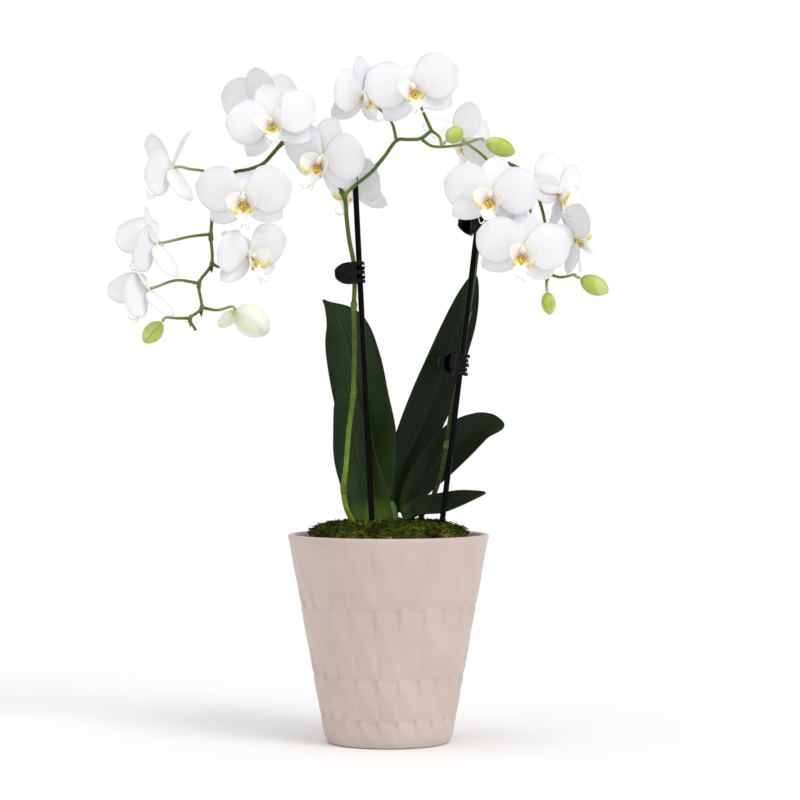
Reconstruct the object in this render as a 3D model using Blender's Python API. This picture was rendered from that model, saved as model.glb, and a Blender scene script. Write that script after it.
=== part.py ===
"""Potted moth orchid: a faceted ceramic cachepot, its planting, two staked flower spikes and their flowers.

Sizes are in millimetres. Heights of the plant are measured from the rim of the pot, and everything is
built about the pot's axis, with the pot standing on Z = 0 and its front towards -Y.
"""

import math
from dataclasses import dataclass

import bmesh
import bpy
from mathutils import Matrix, Vector

MM = 0.001
GAP = 0.3  # clearance between pieces that touch

# Cachepot
POT_HEIGHT = 155.0
POT_RIM_RADIUS = 75.0
POT_BASE_RADIUS = 47.0
POT_WALL = 5.0
POT_FLOOR = 7.0
POT_BAND = 4.5  # plain band under the rim
POT_FOOT_CHAMFER = 4.0
POT_COLUMNS = 24
POT_TIERS = (0.13, 0.34, 0.68)  # tier edges, as shares of the faceted height
FACET_DEPTH = 0.9

# Nursery pot, growing medium and moss
LINER_WALL = 1.2
LINER_DROP = 14.0  # rim of the nursery pot below the rim of the cachepot
LINER_BASE_CLEARANCE = 2.0
LINER_RIM_CLEARANCE = 6.5
BARK_DROP = 3.0  # top of the bark below the rim of the nursery pot
MOSS_RISE = 11.0
MOSS_LUMP = 0.9

# Stakes and the two spikes
STAKE_DIAMETER = 4.3
STAKE_DEPTH = 105.0
STAKE_TIP = 12.0
STEM_DIAMETER = 3.5
BRANCH_DIAMETER = 2.7
PEDICEL_DIAMETER = 2.3
SPIKE_DEPTH = 12.0

# Claw clips
CLIP_HEIGHT = 16.0
CLIP_PLATE = 1.3
CLIP_CLEARANCE = 0.8
CLIP_WIRE_RADIUS = 0.55
CLIP_COIL_RADIUS = 1.9
CLIP_LUG = 1.2

# Crown and leaves
CROWN_RADIUS = 7.5
CROWN_TOP = 26.0
CROWN_DEPTH = 60.0
CROWN_CENTRE = (1.0, 3.0)
LEAF_THICKNESS = 1.8

# Flowers and buds
FLOWER_RADIUS = 34.0
FLOWER_THICKNESS = 1.6
LIP_REACH = 12.0
LIP_BASE = 7.0


def above_rim(x, y, height):
    """A point of the plant, with its height measured from the pot's rim."""
    return Vector((x, y, POT_HEIGHT + height))


def clear_scene():
    for obj in list(bpy.data.objects):
        bpy.data.objects.remove(obj)


def finish_of(name, colour, roughness, metallic=0.0):
    """A Principled material with one colour, roughness and metallic value."""
    material = bpy.data.materials.new(name)
    material.use_nodes = True
    shader = material.node_tree.nodes["Principled BSDF"]
    shader.inputs["Base Color"].default_value = (*colour, 1.0)
    shader.inputs["Roughness"].default_value = roughness
    shader.inputs["Metallic"].default_value = metallic
    return material


def piece_from(name, mesh_builder, material=None, matrix=None, helper=False):
    """One object from a bmesh in millimetres."""
    mesh_builder.transform(Matrix.Scale(MM, 4))
    bmesh.ops.recalc_face_normals(mesh_builder, faces=mesh_builder.faces)
    mesh = bpy.data.meshes.new(name)
    mesh_builder.to_mesh(mesh)
    mesh_builder.free()
    obj = bpy.data.objects.new(name, mesh)
    bpy.context.scene.collection.objects.link(obj)
    if matrix is not None:
        obj.matrix_world = matrix
    if material is not None:
        mesh.materials.append(material)
    if helper:
        obj.hide_render = True
        obj.display_type = "WIRE"
    return obj


def combine(target, operand, operation):
    """A Boolean on the target, with the operand kept as a hidden helper."""
    modifier = target.modifiers.new(operand.name, "BOOLEAN")
    modifier.operation = operation
    modifier.solver = "EXACT"
    modifier.object = operand


def loft(rings, cap_start=True, cap_end=True):
    """A bmesh skinned over closed rings of equal point count; one-point rings close to a tip."""
    bm = bmesh.new()
    levels = [[bm.verts.new(point) for point in ring] for ring in rings]
    for lower, upper in zip(levels, levels[1:]):
        count = max(len(lower), len(upper))
        for i in range(count):
            j = (i + 1) % count
            below = (lower[i % len(lower)], lower[j % len(lower)])
            above = (upper[j % len(upper)], upper[i % len(upper)])
            bm.faces.new(list(dict.fromkeys(below + above)))
    if cap_start and len(levels[0]) > 2:
        bm.faces.new(reversed(levels[0]))
    if cap_end and len(levels[-1]) > 2:
        bm.faces.new(levels[-1])
    return bm


def turned(profile, segments):
    """A bmesh turned about Z from (radius, height) points; a zero radius closes on the axis."""
    rings = []
    for radius, height in profile:
        if radius == 0:
            rings.append([Vector((0.0, 0.0, height))])
            continue
        steps = (2 * math.pi * i / segments for i in range(segments))
        rings.append([Vector((radius * math.cos(a), radius * math.sin(a), height)) for a in steps])
    return loft(rings)


def smooth_route(points, per_span):
    """Points along the Catmull-Rom curve through the given ones."""
    padded = [2 * points[0] - points[1], *points, 2 * points[-1] - points[-2]]
    route = []
    for before, start, end, after in zip(padded, padded[1:], padded[2:], padded[3:]):
        for step in range(per_span):
            t = step / per_span
            route.append(
                0.5
                * (
                    2 * start
                    + (end - before) * t
                    + (2 * before - 5 * start + 4 * end - after) * t**2
                    + (3 * start - before - 3 * end + after) * t**3
                )
            )
    route.append(points[-1].copy())
    return route


def tangents_of(route):
    last = len(route) - 1
    return [(route[min(i + 1, last)] - route[max(i - 1, 0)]).normalized() for i in range(last + 1)]


def tube(route, start_radius, end_radius, sides=7):
    """A round bar along a route, its radius running evenly from start to end."""
    tangents = tangents_of(route)
    side = tangents[0].orthogonal().normalized()
    rings = []
    for i, (centre, tangent) in enumerate(zip(route, tangents)):
        side = (side - tangent * side.dot(tangent)).normalized()
        other = tangent.cross(side)
        radius = start_radius + (end_radius - start_radius) * i / (len(route) - 1)
        steps = [2 * math.pi * k / sides for k in range(sides)]
        rings.append([centre + (side * math.cos(a) + other * math.sin(a)) * radius for a in steps])
    return loft(rings)


# ---- Cachepot and planting -------------------------------------------------------------------


def pot_radius(height):
    """Outer radius of the cachepot's cone at a height above the surface it stands on."""
    return POT_BASE_RADIUS + (POT_RIM_RADIUS - POT_BASE_RADIUS) * height / POT_HEIGHT


def cavity_radius(height):
    return pot_radius(height) - POT_WALL


def make_pot(material):
    """A cone whose wall is folded into four tiers of facets, open at the top."""
    segments = 2 * POT_COLUMNS
    faceted = POT_HEIGHT - POT_BAND
    levels = [POT_FOOT_CHAMFER, *(share * faceted for share in POT_TIERS), faceted]
    bm = bmesh.new()

    def ring(height, radius, fold=0.0, parity=0):
        points = []
        for i in range(segments):
            angle = 2 * math.pi * i / segments
            outward = (i // 2 + parity) % 2 == 0
            push = (fold if outward else -fold) if i % 2 == 0 else 0.0
            reach = radius + push
            points.append(bm.verts.new((reach * math.cos(angle), reach * math.sin(angle), height)))
        return points

    rings = [ring(0.0, POT_BASE_RADIUS - POT_FOOT_CHAMFER)]
    for parity, height in enumerate(levels[:-1]):
        rings.append(ring(height, pot_radius(height) - FACET_DEPTH, FACET_DEPTH, parity))
    rings.append(ring(faceted, pot_radius(faceted) - 0.4))
    rings.append(ring(faceted + 1.0, pot_radius(faceted + 1.0)))
    rings.append(ring(POT_HEIGHT - 1.0, POT_RIM_RADIUS))
    rings.append(ring(POT_HEIGHT, POT_RIM_RADIUS - 1.0))
    rings.append(ring(POT_HEIGHT, POT_RIM_RADIUS - POT_WALL + 1.0))
    rings.append(ring(POT_HEIGHT - 1.0, cavity_radius(POT_HEIGHT)))
    rings.append(ring(POT_FLOOR, cavity_radius(POT_FLOOR)))
    for lower, upper in zip(rings, rings[1:]):
        for i in range(segments):
            j = (i + 1) % segments
            bm.faces.new((upper[i], lower[i], lower[j]))
            bm.faces.new((upper[i], lower[j], upper[j]))
    bm.faces.new(reversed(rings[0]))
    bm.faces.new(rings[-1])
    return piece_from("cachepot", bm, material)


def liner_radius(height):
    """Outer radius of the nursery pot, which narrows towards its base inside the cachepot."""
    base = POT_FLOOR + GAP
    top = POT_HEIGHT - LINER_DROP
    at_base = cavity_radius(base) - LINER_BASE_CLEARANCE
    at_top = cavity_radius(top) - LINER_RIM_CLEARANCE
    return at_base + (at_top - at_base) * (height - base) / (top - base)


def make_liner(material):
    base = POT_FLOOR + GAP
    top = POT_HEIGHT - LINER_DROP
    floor = base + LINER_WALL
    profile = [
        (0.0, base),
        (liner_radius(base), base),
        (liner_radius(top), top),
        (liner_radius(top) - LINER_WALL, top),
        (liner_radius(floor) - LINER_WALL, floor),
        (0.0, floor),
    ]
    return piece_from("nursery_pot", turned(profile, 36), material)


def medium_radius(height):
    return liner_radius(height) - LINER_WALL - GAP


def make_bark(material, cutters):
    bottom = POT_FLOOR + LINER_WALL + 2 * GAP
    top = POT_HEIGHT - LINER_DROP - BARK_DROP
    profile = [(0.0, bottom), (medium_radius(bottom), bottom), (medium_radius(top), top), (0.0, top)]
    bark = piece_from("bark_medium", turned(profile, 36), material)
    for cutter in cutters:
        combine(bark, cutter, "DIFFERENCE")
    return bark


def make_moss(material, cutters):
    """A low mound with a gently lumpy top, filling the nursery pot's mouth."""
    bottom = POT_HEIGHT - LINER_DROP - BARK_DROP + GAP
    rim = POT_HEIGHT - LINER_DROP
    edge = medium_radius(rim)
    crest = POT_HEIGHT + MOSS_RISE
    profile = [(0.0, bottom), (medium_radius(bottom), bottom), (edge, rim), (edge, POT_HEIGHT + 1.0)]
    profile += [(share * edge, crest - MOSS_RISE * share**6 * 0.8) for share in (0.93, 0.8, 0.6, 0.4, 0.2)]
    profile.append((0.0, crest))
    bm = turned(profile, 30)
    for vertex in bm.verts:
        if vertex.co.z > POT_HEIGHT + 2.0:
            x, y = vertex.co.xy / 7.0
            vertex.co.z += MOSS_LUMP * math.sin(1.3 * x + 2.1) * math.cos(1.7 * y - 0.6)
    moss = piece_from("moss_layer", bm, material)
    for cutter in cutters:
        combine(moss, cutter, "DIFFERENCE")
    return moss


def make_crown(material):
    """The short stem from which the leaves grow, standing in the bark."""
    low = POT_HEIGHT - CROWN_DEPTH
    top = POT_HEIGHT + CROWN_TOP
    profile = [(0.0, low), (CROWN_RADIUS * 0.6, low), (CROWN_RADIUS, low + 20.0), (CROWN_RADIUS, top - 14.0)]
    profile += [(CROWN_RADIUS * 0.7, top - 4.0), (0.0, top)]
    place = Matrix.Translation(Vector((*CROWN_CENTRE, 0.0)) * MM)
    crown = piece_from("crown", turned(profile, 16), material, place)
    reach = CROWN_RADIUS + GAP
    hole = [(0.0, low - GAP), (reach, low - GAP), (reach, top + 5.0), (0.0, top + 5.0)]
    cutter = piece_from("crown_hole", turned(hole, 16), None, place, helper=True)
    return crown, cutter


# ---- Stakes ----------------------------------------------------------------------------------


@dataclass(frozen=True)
class Stake:
    """A straight plastic stake through two points whose heights are measured from the rim."""

    name: str
    foot: tuple
    head: tuple

    def at(self, height):
        foot = Vector(self.foot)
        run = Vector(self.head) - foot
        return foot + run * (height - foot.z) / run.z

    def direction(self):
        return (Vector(self.head) - Vector(self.foot)).normalized()

    def beside(self, height, x, y):
        """The centre of a stem that lies against the stake on its (x, y) side."""
        reach = (STAKE_DIAMETER + STEM_DIAMETER) / 2 + GAP + 0.1
        return self.at(height) + Vector((x, y, 0.0)).normalized() * reach

    def route(self, top):
        heights = (-STAKE_DEPTH, -STAKE_DEPTH + STAKE_TIP, top - 1.0, top)
        return [above_rim(*self.at(height)) for height in heights]

    def make(self, material):
        radius = STAKE_DIAMETER / 2
        rings = []
        for centre, reach in zip(self.route(self.head[2]), (0.35 * radius, radius, radius, 0.75 * radius)):
            steps = [2 * math.pi * k / 10 for k in range(10)]
            rings.append([centre + Vector((math.cos(a), math.sin(a), 0.0)) * reach for a in steps])
        return piece_from(self.name, loft(rings), material)

    def make_hole(self):
        reach = STAKE_DIAMETER / 2 + GAP
        route = [above_rim(*self.at(height)) for height in (-STAKE_DEPTH - 1.0, MOSS_RISE + 12.0)]
        return piece_from(f"{self.name}_hole", tube(route, reach * 1.04, reach * 1.04, 12), helper=True)


LEFT_STAKE = Stake("left_stake", (-12.0, -18.0, 6.0), (-25.0, -8.0, 268.0))
RIGHT_STAKE = Stake("right_stake", (40.0, -14.0, 11.0), (67.0, -10.0, 236.0))


# ---- Flowers and buds ------------------------------------------------------------------------


def facing_matrix(azimuth, elevation, roll):
    """Columns right, up and out of something that looks out at an azimuth from -Y towards +X."""
    a, e = math.radians(azimuth), math.radians(elevation)
    out = Vector((math.sin(a) * math.cos(e), -math.cos(a) * math.cos(e), math.sin(e)))
    right = Vector((0.0, 0.0, 1.0)).cross(out).normalized()
    up = out.cross(right)
    turn = Matrix((right, up, out)).transposed()
    return turn @ Matrix.Rotation(math.radians(roll), 3, "Z")


@dataclass(frozen=True)
class Flower:
    """An open flower: where its back is, where it looks, its pedicel's way, and its cup in degrees."""

    name: str
    centre: tuple
    azimuth: float
    elevation: float
    roll: float
    pedicel: tuple
    size: float = 1.0
    cup: float = 0.0

    def turn(self):
        return facing_matrix(self.azimuth, self.elevation, self.roll)

    def matrix(self):
        return Matrix.Translation(above_rim(*self.centre) * MM) @ self.turn().to_4x4()

    def pedicel_route(self):
        out = self.turn().col[2]
        back = Vector(self.centre) - out * (FLOWER_THICKNESS / 2 + 2 * GAP)
        way = [Vector(point) for point in self.pedicel]
        return [above_rim(*point) for point in smooth_route([*way, back - out * 5.0, back], 2)]


TEPALS = ((90.0, 27.0, 0.90), (14.0, 41.0, 1.0), (166.0, 41.0, 1.0), (-38.0, 27.0, 0.92), (218.0, 27.0, 0.92))


def flower_outline(angle):
    """Share of the flower's radius that its tepals reach at an angle, in degrees."""
    reach = 0.36
    for middle, half_width, length in TEPALS:
        off = abs((angle - middle + 180.0) % 360.0 - 180.0)
        if off < half_width:
            reach = max(reach, length * math.cos(math.pi / 2 * off / half_width) ** 0.45)
    return reach


def make_flower(flower, material):
    """Five tepals in one thin star with the lip and column as a low cone in front."""
    count = 30
    radius = FLOWER_RADIUS * flower.size
    half = FLOWER_THICKNESS / 2
    flat, rise = math.cos(math.radians(flower.cup)), math.sin(math.radians(flower.cup))

    def ring(share, height):
        points = []
        for i in range(count):
            angle = 360.0 * i / count
            reach = share * radius * flower_outline(angle)
            x = reach * flat * math.cos(math.radians(angle))
            y = reach * flat * math.sin(math.radians(angle))
            points.append(Vector((x, y, reach * rise + height)))
        return points

    def lip_ring(reach):
        points = []
        for a in angles_of(count):
            x, y = reach * math.cos(a), reach * math.sin(a) - 3.0
            points.append(Vector((x, y, half + math.hypot(x, y) * rise / flat)))
        return points

    inner = lip_ring(LIP_BASE)
    tip = [Vector((0.0, -8.0, LIP_REACH))]
    rings = [[Vector((0.0, 0.0, -half))], ring(0.6, -half), ring(1.0, -0.5), ring(1.0, 0.5), inner, tip]
    return piece_from(flower.name, loft(rings), material, flower.matrix())


def angles_of(count):
    return [2 * math.pi * i / count for i in range(count)]


@dataclass(frozen=True)
class Bud:
    """A closed or opening bud that grows from its base towards its tip."""

    name: str
    base: tuple
    tip: tuple
    width: float
    pedicel: tuple

    def pedicel_route(self):
        base = Vector(self.base)
        out = (Vector(self.tip) - base).normalized()
        back = base - out * 2 * GAP
        way = [Vector(point) for point in self.pedicel]
        return [above_rim(*point) for point in smooth_route([*way, back - out * 4.0, back], 2)]

    def make(self, material):
        base = above_rim(*self.base)
        axis = above_rim(*self.tip) - base
        out = axis.normalized()
        side = out.orthogonal().normalized()
        other = out.cross(side)
        rings = []
        for share, reach in ((0.0, 0.16), (0.12, 0.6), (0.35, 0.96), (0.6, 1.0), (0.82, 0.72), (0.96, 0.3)):
            centre = base + axis * share
            radius = reach * self.width / 2
            steps = angles_of(10)
            rings.append([centre + (side * math.cos(a) + other * math.sin(a)) * radius for a in steps])
        rings.append([base + axis])
        return piece_from(self.name, loft(rings), material)


CASCADE_FLOWERS = (
    Flower("cascade_flower_1", (-48, -12, 280), -28, -15, -18, ((-57, 10, 289), (-50, 4, 285))),
    Flower("cascade_flower_2", (-86, -16, 306), -10, 8, 15, ((-78, 4, 293), (-84, 2, 302)), 0.98),
    Flower("cascade_flower_3", (-94, 24, 322), 160, 20, 0, ((-70, 8, 296), (-84, 8, 307))),
    Flower("cascade_flower_4", (-106, -28, 251), -5, -15, 3, ((-116, 4, 269), (-110, -6, 262)), 1.02),
    Flower(
        "cascade_flower_5",
        (-161, -2, 273),
        -80,
        -5,
        5,
        ((-124, 2, 262), (-136, 2, 270), (-148, 0, 272)),
        1.0,
        30,
    ),
    Flower("cascade_flower_6", (-171, -16, 216), -80, -5, 0, ((-132, -6, 223), (-147, -10, 221)), 1.0, 32),
    Flower("cascade_flower_7", (-104, -12, 209), 45, -8, -8, ((-131, -12, 201), (-124, -8, 199)), 0.92, 12),
    Flower("cascade_flower_8", (-176, -30, 181), -72, -18, 8, ((-140, -16, 186), (-156, -22, 188)), 0.95, 28),
)
CREST_FLOWERS = (
    Flower("crest_flower_1", (-20, 4, 329), 48, -5, 6, ((6, -12, 292), (-2, -8, 304), (-20, 12, 314)), 0.92),
    Flower("crest_flower_2", (18, -18, 332), 0, 0, 12, ((32, -7, 300), (26, -1, 314), (21, -6, 325))),
    Flower(
        "crest_flower_3", (-26, 19, 264), -50, -20, -10, ((-3, -13, 280), (-6, 0, 285), (-12, 14, 277)), 0.95
    ),
)
RIGHT_FLOWERS = (
    Flower("right_flower_1", (57, 22, 296), 170, 10, 0, ((80, 9, 273), (70, 12, 284)), 0.95),
    Flower("right_flower_2", (75.8, -31, 251.5), -10, -5, -7, ((74, 6, 264), (76, -8, 261))),
    Flower("right_flower_3", (98, -35, 211), 5, -10, -8, ((108, 10, 262), (106, -2, 242), (101, -20, 222))),
    Flower("right_flower_4", (128, 0, 254), 55, -10, 0, ((113, 10, 250), (118, 8, 255)), 0.95, 12),
    Flower("right_flower_5", (138, -9, 219), 85, 0, 0, ((118.5, 0.5, 216), (128, -7, 219)), 0.8, 25),
)
CASCADE_BUDS = (
    Bud("opening_bud", (-112, -24, 166), (-88, -29, 149), 24.0, ((-138, -20, 168), (-126, -22, 166))),
    Bud("cascade_bud", (-167, -22, 157), (-180, -24, 142), 14.0, ((-146, -22, 160), (-156, -22, 160))),
)
CREST_BUDS = (
    Bud("crest_bud_1", (43, -9, 292), (55, -11, 301), 12.5, ((32, -7, 300), (38, -8, 295))),
    Bud("crest_bud_2", (72, -8, 292), (94, -8, 283), 14.0, ((25, -8, 293), (34, -8, 288), (52, -8, 289))),
)
RIGHT_BUDS = (
    Bud(
        "right_bud_1", (145, -6, 189), (164, -8, 181), 14.0, ((118, -5, 194), (128, -6, 191), (138, -6, 193))
    ),
    Bud("right_bud_2", (119, -8, 182), (122, -10, 166), 10.0, ((118, -6, 193),)),
)


# ---- Spikes ----------------------------------------------------------------------------------

LEFT_SPIKE = (
    (-20, -8, -SPIKE_DEPTH),
    (-26, -14, 8),
    (-31, -20, 20),
    (-33, -24, 33),
    (-31, -25, 52),
    (-29, -23, 78),
    (-26, -20, 103),
    (-25, -17, 137),
    (-25.5, -15, 168),
    tuple(LEFT_STAKE.beside(186.0, -1.0, -0.3)),
    tuple(LEFT_STAKE.beside(202.0, -1.0, -0.3)),
    (-29, -11, 218),
    (-31, -9, 234),
    (-33, -6, 251),
    (-44, 4, 272),
    (-57, 10, 289),
    (-68, 8, 296),
    (-78, 4, 293),
    (-87, 2, 283),
    (-94, 2, 276),
    (-105, 4, 272),
    (-115, 4, 270),
    (-124, 2, 262),
    (-130, -2, 245),
    (-132, -6, 223),
    (-131, -12, 201),
    (-140, -16, 186),
    (-138, -20, 168),
    (-146, -22, 160),
    (-142, -22, 151),
)
CREST_BRANCH = (
    (-33, -6, 251),
    (-29, -12, 255),
    (-23, -14.5, 260),
    (-12, -14, 269),
    (-3, -13, 280),
    (6, -12, 292),
    (15, -10, 293),
    (24, -8, 294),
    (32, -7, 300),
)
RIGHT_SPIKE = (
    (22, 8, -SPIKE_DEPTH),
    (24, 7, 11),
    (33, 4, 27),
    (39, 0, 45),
    (43, -4, 66),
    (47, -7, 92),
    tuple(RIGHT_STAKE.beside(118.0, 0.0, 1.0)),
    tuple(RIGHT_STAKE.beside(134.0, 0.0, 1.0)),
    tuple(RIGHT_STAKE.beside(160.0, 0.2, 1.0)),
    tuple(RIGHT_STAKE.beside(190.0, 0.5, 1.0)),
    tuple(RIGHT_STAKE.beside(222.0, 0.5, 1.0)),
    tuple(RIGHT_STAKE.beside(237.0, 0.7, 1.0)),
    (73, 5, 257),
    (79, 9, 271),
    (88, 11, 277),
    (100, 12, 272),
    (109, 12, 260),
    (115, 9, 243),
    (118, 3, 225),
    (119, -2, 208),
    (118, -6, 194),
)


def make_spike(name, route, branches, carried, material):
    """One flower spike with its branches and the pedicels of all it carries; returns its hole's cutter."""
    stem_radius = STEM_DIAMETER / 2
    branch_radius = BRANCH_DIAMETER / 2
    main = smooth_route([above_rim(*point) for point in route], 2)
    spike = piece_from(name, tube(main, stem_radius, stem_radius * 0.6, 6), material)
    limbs = []
    for branch in branches:
        limbs.append((smooth_route([above_rim(*point) for point in branch], 2), branch_radius, branch_radius))
    limbs += [(item.pedicel_route(), PEDICEL_DIAMETER / 2, PEDICEL_DIAMETER / 2.2) for item in carried]
    for index, (limb, start, end) in enumerate(limbs):
        combine(spike, piece_from(f"{name}_limb_{index}", tube(limb, start, end, 5), helper=True), "UNION")
    reach = stem_radius + GAP
    return piece_from(f"{name}_hole", tube(main[:6], reach, reach, 8), helper=True)


# ---- Leaves ----------------------------------------------------------------------------------


@dataclass(frozen=True)
class Leaf:
    """A strap leaf: its middle line, widths along it, and the way its face looks."""

    name: str
    spine: tuple
    widths: tuple
    face: tuple

    def make(self, material):
        line = smooth_route([above_rim(*point) for point in self.spine], 2)
        steps = len(line) - 1
        rings = []
        for i, (centre, tangent) in enumerate(zip(line, tangents_of(line))):
            place = i / steps * (len(self.widths) - 1)
            low = min(int(place), len(self.widths) - 2)
            width = self.widths[low] + (self.widths[low + 1] - self.widths[low]) * (place - low)
            across = tangent.cross(Vector(self.face)).normalized()
            front = across.cross(tangent)
            half = width / 2
            fold = 0.16 * half
            thick = LEAF_THICKNESS / 2
            edge = 0.45 * thick
            rings.append(
                [
                    centre - across * half + front * (fold + edge),
                    centre + front * thick,
                    centre + across * half + front * (fold + edge),
                    centre + across * half + front * (fold - edge),
                    centre - front * thick,
                    centre - across * half + front * (fold - edge),
                ]
            )
        return piece_from(self.name, loft(rings), material)


LEAVES = (
    Leaf(
        "leaf_tall_left",
        (
            (-11, 11, 15),
            (-10, 12, 40),
            (-14, 14, 70),
            (-21, 18, 100),
            (-27, 20, 130),
            (-34, 19, 156),
            (-49, 15, 175),
        ),
        (18, 28, 40, 42, 41, 32, 3),
        (0.1, -1.0, 0.1),
    ),
    Leaf(
        "leaf_front_left",
        ((-10, -6, 15), (-17, -7, 33), (-25, -7, 55), (-27, -6, 77), (-30, -5, 96), (-31, -3, 112)),
        (15, 24, 29, 28, 19, 3),
        (-0.1, -1.0, 0.15),
    ),
    Leaf(
        "leaf_tall_right",
        ((5, 15, 15), (9, 18, 45), (20, 19, 70), (33, 21, 100), (44, 22, 130), (55, 22, 160), (65, 20, 194)),
        (15, 22, 30, 33, 29, 23, 3),
        (-0.1, -1.0, 0.1),
    ),
    Leaf(
        "leaf_mid_right",
        ((13, 7, 15), (19, 8, 31), (35, 9, 51), (53, 9, 69), (70, 6, 79), (86, 0, 81)),
        (13, 19, 28, 30, 22, 3),
        (0.1, -0.95, 0.3),
    ),
    Leaf(
        "leaf_low_right",
        ((12, -5, 18), (23, -5, 19.5), (38, -4, 21.5), (54, -5, 26), (72, -8, 31)),
        (12, 15, 18, 16, 3),
        (0.0, -0.8, 0.6),
    ),
    Leaf(
        "leaf_back",
        ((-2, 16, 14), (-8, 30, 34), (-16, 48, 52), (-24, 66, 60), (-30, 82, 56)),
        (14, 22, 27, 22, 3),
        (0.0, -0.4, 0.9),
    ),
)


# ---- Claw clips ------------------------------------------------------------------------------


@dataclass(frozen=True)
class Clip:
    """A claw clip round a stake and the stem beside it, hinged along the stake."""

    name: str
    stake: Stake
    height: float
    beside: tuple
    yaw: float

    def matrix(self):
        """Local X runs from the hinge to the stems, Y to the back and Z up the stake."""
        up = self.stake.direction()
        stem = self.stake.beside(self.height, *self.beside)
        middle = (self.stake.at(self.height) + stem) / 2
        across = Vector((1.0, 0.0, 0.0))
        across = (across - up * across.dot(up)).normalized()
        across = Matrix.Rotation(math.radians(self.yaw), 3, up) @ across
        turn = Matrix((across, up.cross(across), up)).transposed().to_4x4()
        hinge = above_rim(*middle) - across * self.hinge_reach()
        return Matrix.Translation(hinge * MM) @ turn

    @staticmethod
    def arc_radius():
        """Middle radius of the jaws, just clear of the stake and the stem side by side."""
        return (STAKE_DIAMETER + STEM_DIAMETER + GAP) / 2 + CLIP_CLEARANCE + CLIP_PLATE / 2

    @classmethod
    def hinge_reach(cls):
        return cls.arc_radius() + CLIP_COIL_RADIUS + 0.6

    def jaw_line(self, side):
        """The jaw's middle line seen along the hinge, from finger tab to tine tip."""
        reach = self.arc_radius()
        middle = self.hinge_reach()
        clear = CLIP_COIL_RADIUS + CLIP_PLATE / 2 + 0.35
        line = [(-8.2, 6.6), (-5.0, 4.9), (-2.4, clear + 0.5), (1.2, clear)]
        for angle in (140.0, 115.0, 90.0, 65.0, 40.0, 15.0, -12.0):
            a = math.radians(angle)
            line.append((middle + reach * math.cos(a), reach * math.sin(a)))
        return [Vector((x, side * y, 0.0)) for x, y in line]

    def make_jaw(self, side, columns, tines, lug_at, material):
        """A bent plate with tines past its middle, and two lugs that the hinge wire runs through."""
        line = self.jaw_line(side)
        spread = [0.45, 0.8, 1.0] + [1.0] * (len(line) - 3)
        solid_rows = 6
        bm = bmesh.new()
        rows = []
        for point, wide in zip(line, spread):
            rows.append([bm.verts.new(point + Vector((0.0, 0.0, z * wide))) for z in columns])
        for index, (lower, upper) in enumerate(zip(rows, rows[1:])):
            for column in range(len(columns) - 1):
                if index < solid_rows or column in tines:
                    bm.faces.new((lower[column], lower[column + 1], upper[column + 1], upper[column]))
        bmesh.ops.delete(bm, geom=[v for v in bm.verts if not v.link_faces], context="VERTS")
        word = "rear" if side > 0 else "front"
        jaw = piece_from(f"{self.name}_{word}_jaw", bm, material, self.matrix())
        plate = jaw.modifiers.new("plate", "SOLIDIFY")
        plate.thickness = CLIP_PLATE * MM
        plate.offset = 0.0
        plate.use_even_offset = True
        jaw.modifiers.new("flat_faces", "TRIANGULATE")
        for index, low in enumerate((lug_at, -lug_at - CLIP_LUG)):
            lug = piece_from(f"{jaw.name}_lug_{index}", lug_mesh(side, low), None, self.matrix(), helper=True)
            combine(jaw, lug, "UNION")
        return jaw

    def make_spring(self, material):
        """The coil and the straight ends of its wire, which are the hinge pin."""
        half = CLIP_HEIGHT / 2 - 0.6
        coil_half = half - 2 * CLIP_LUG - 1.2
        wire, outer = CLIP_WIRE_RADIUS, CLIP_COIL_RADIUS
        turns = 6
        profile = [(0.0, -half), (wire, -half), (wire, -coil_half)]
        for turn in range(turns):
            low = -coil_half + 2 * coil_half * turn / turns
            pitch = 2 * coil_half / turns
            profile += [(outer - 0.35, low + 0.1 * pitch), (outer, low + 0.5 * pitch)]
            profile.append((outer - 0.35, low + 0.9 * pitch))
        profile += [(wire, coil_half), (wire, half), (0.0, half)]
        return piece_from(f"{self.name}_spring", turned(profile, 10), material, self.matrix())


def lug_mesh(side, low):
    """An eye round the hinge wire with a web that reaches the jaw's plate."""
    bore = CLIP_WIRE_RADIUS + 0.35
    web = CLIP_COIL_RADIUS + 0.9
    outline = []
    for a in angles_of(12):
        x, y = 1.6 * math.cos(a), 1.6 * math.sin(a)
        if y < -0.01:
            x = 1.6 * max(-1.0, min(1.0, 2.0 * math.cos(a)))
            y = -web * min(1.0, -1.2 * math.sin(a))
        outline.append((x, -side * y))
    hole = [(bore * math.cos(a), -side * bore * math.sin(a)) for a in angles_of(12)]
    bm = bmesh.new()
    rings = []
    high = low + CLIP_LUG
    for points, height in ((outline, low), (outline, high), (hole, high), (hole, low)):
        rings.append([bm.verts.new((x, y, height)) for x, y in points])
    for lower, upper in zip(rings, rings[1:] + rings[:1]):
        for i in range(12):
            j = (i + 1) % 12
            bm.faces.new((lower[i], lower[j], upper[j], upper[i]))
    return bm


def make_clip(clip, jaw_material, spring_material):
    half = CLIP_HEIGHT / 2
    front_columns = (-half, -half + 2.6, -1.4, 1.4, half - 2.6, half)
    rear_columns = (-half, -half + 3.2, -2.0, 2.0, half - 3.2, half)
    clip.make_jaw(-1, front_columns, (0, 2, 4), half - 2.0, jaw_material)
    clip.make_jaw(1, rear_columns, (1, 3), half - 2.0 - CLIP_LUG - 0.4, jaw_material)
    clip.make_spring(spring_material)


CLIPS = (
    Clip("left_clip", LEFT_STAKE, 194.0, (-1.0, -0.3), 0.0),
    Clip("middle_clip", RIGHT_STAKE, 126.0, (0.0, 1.0), 40.0),
    Clip("upper_clip", RIGHT_STAKE, 229.0, (0.6, 1.0), 50.0),
)


# ---- The whole plant -------------------------------------------------------------------------


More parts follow.
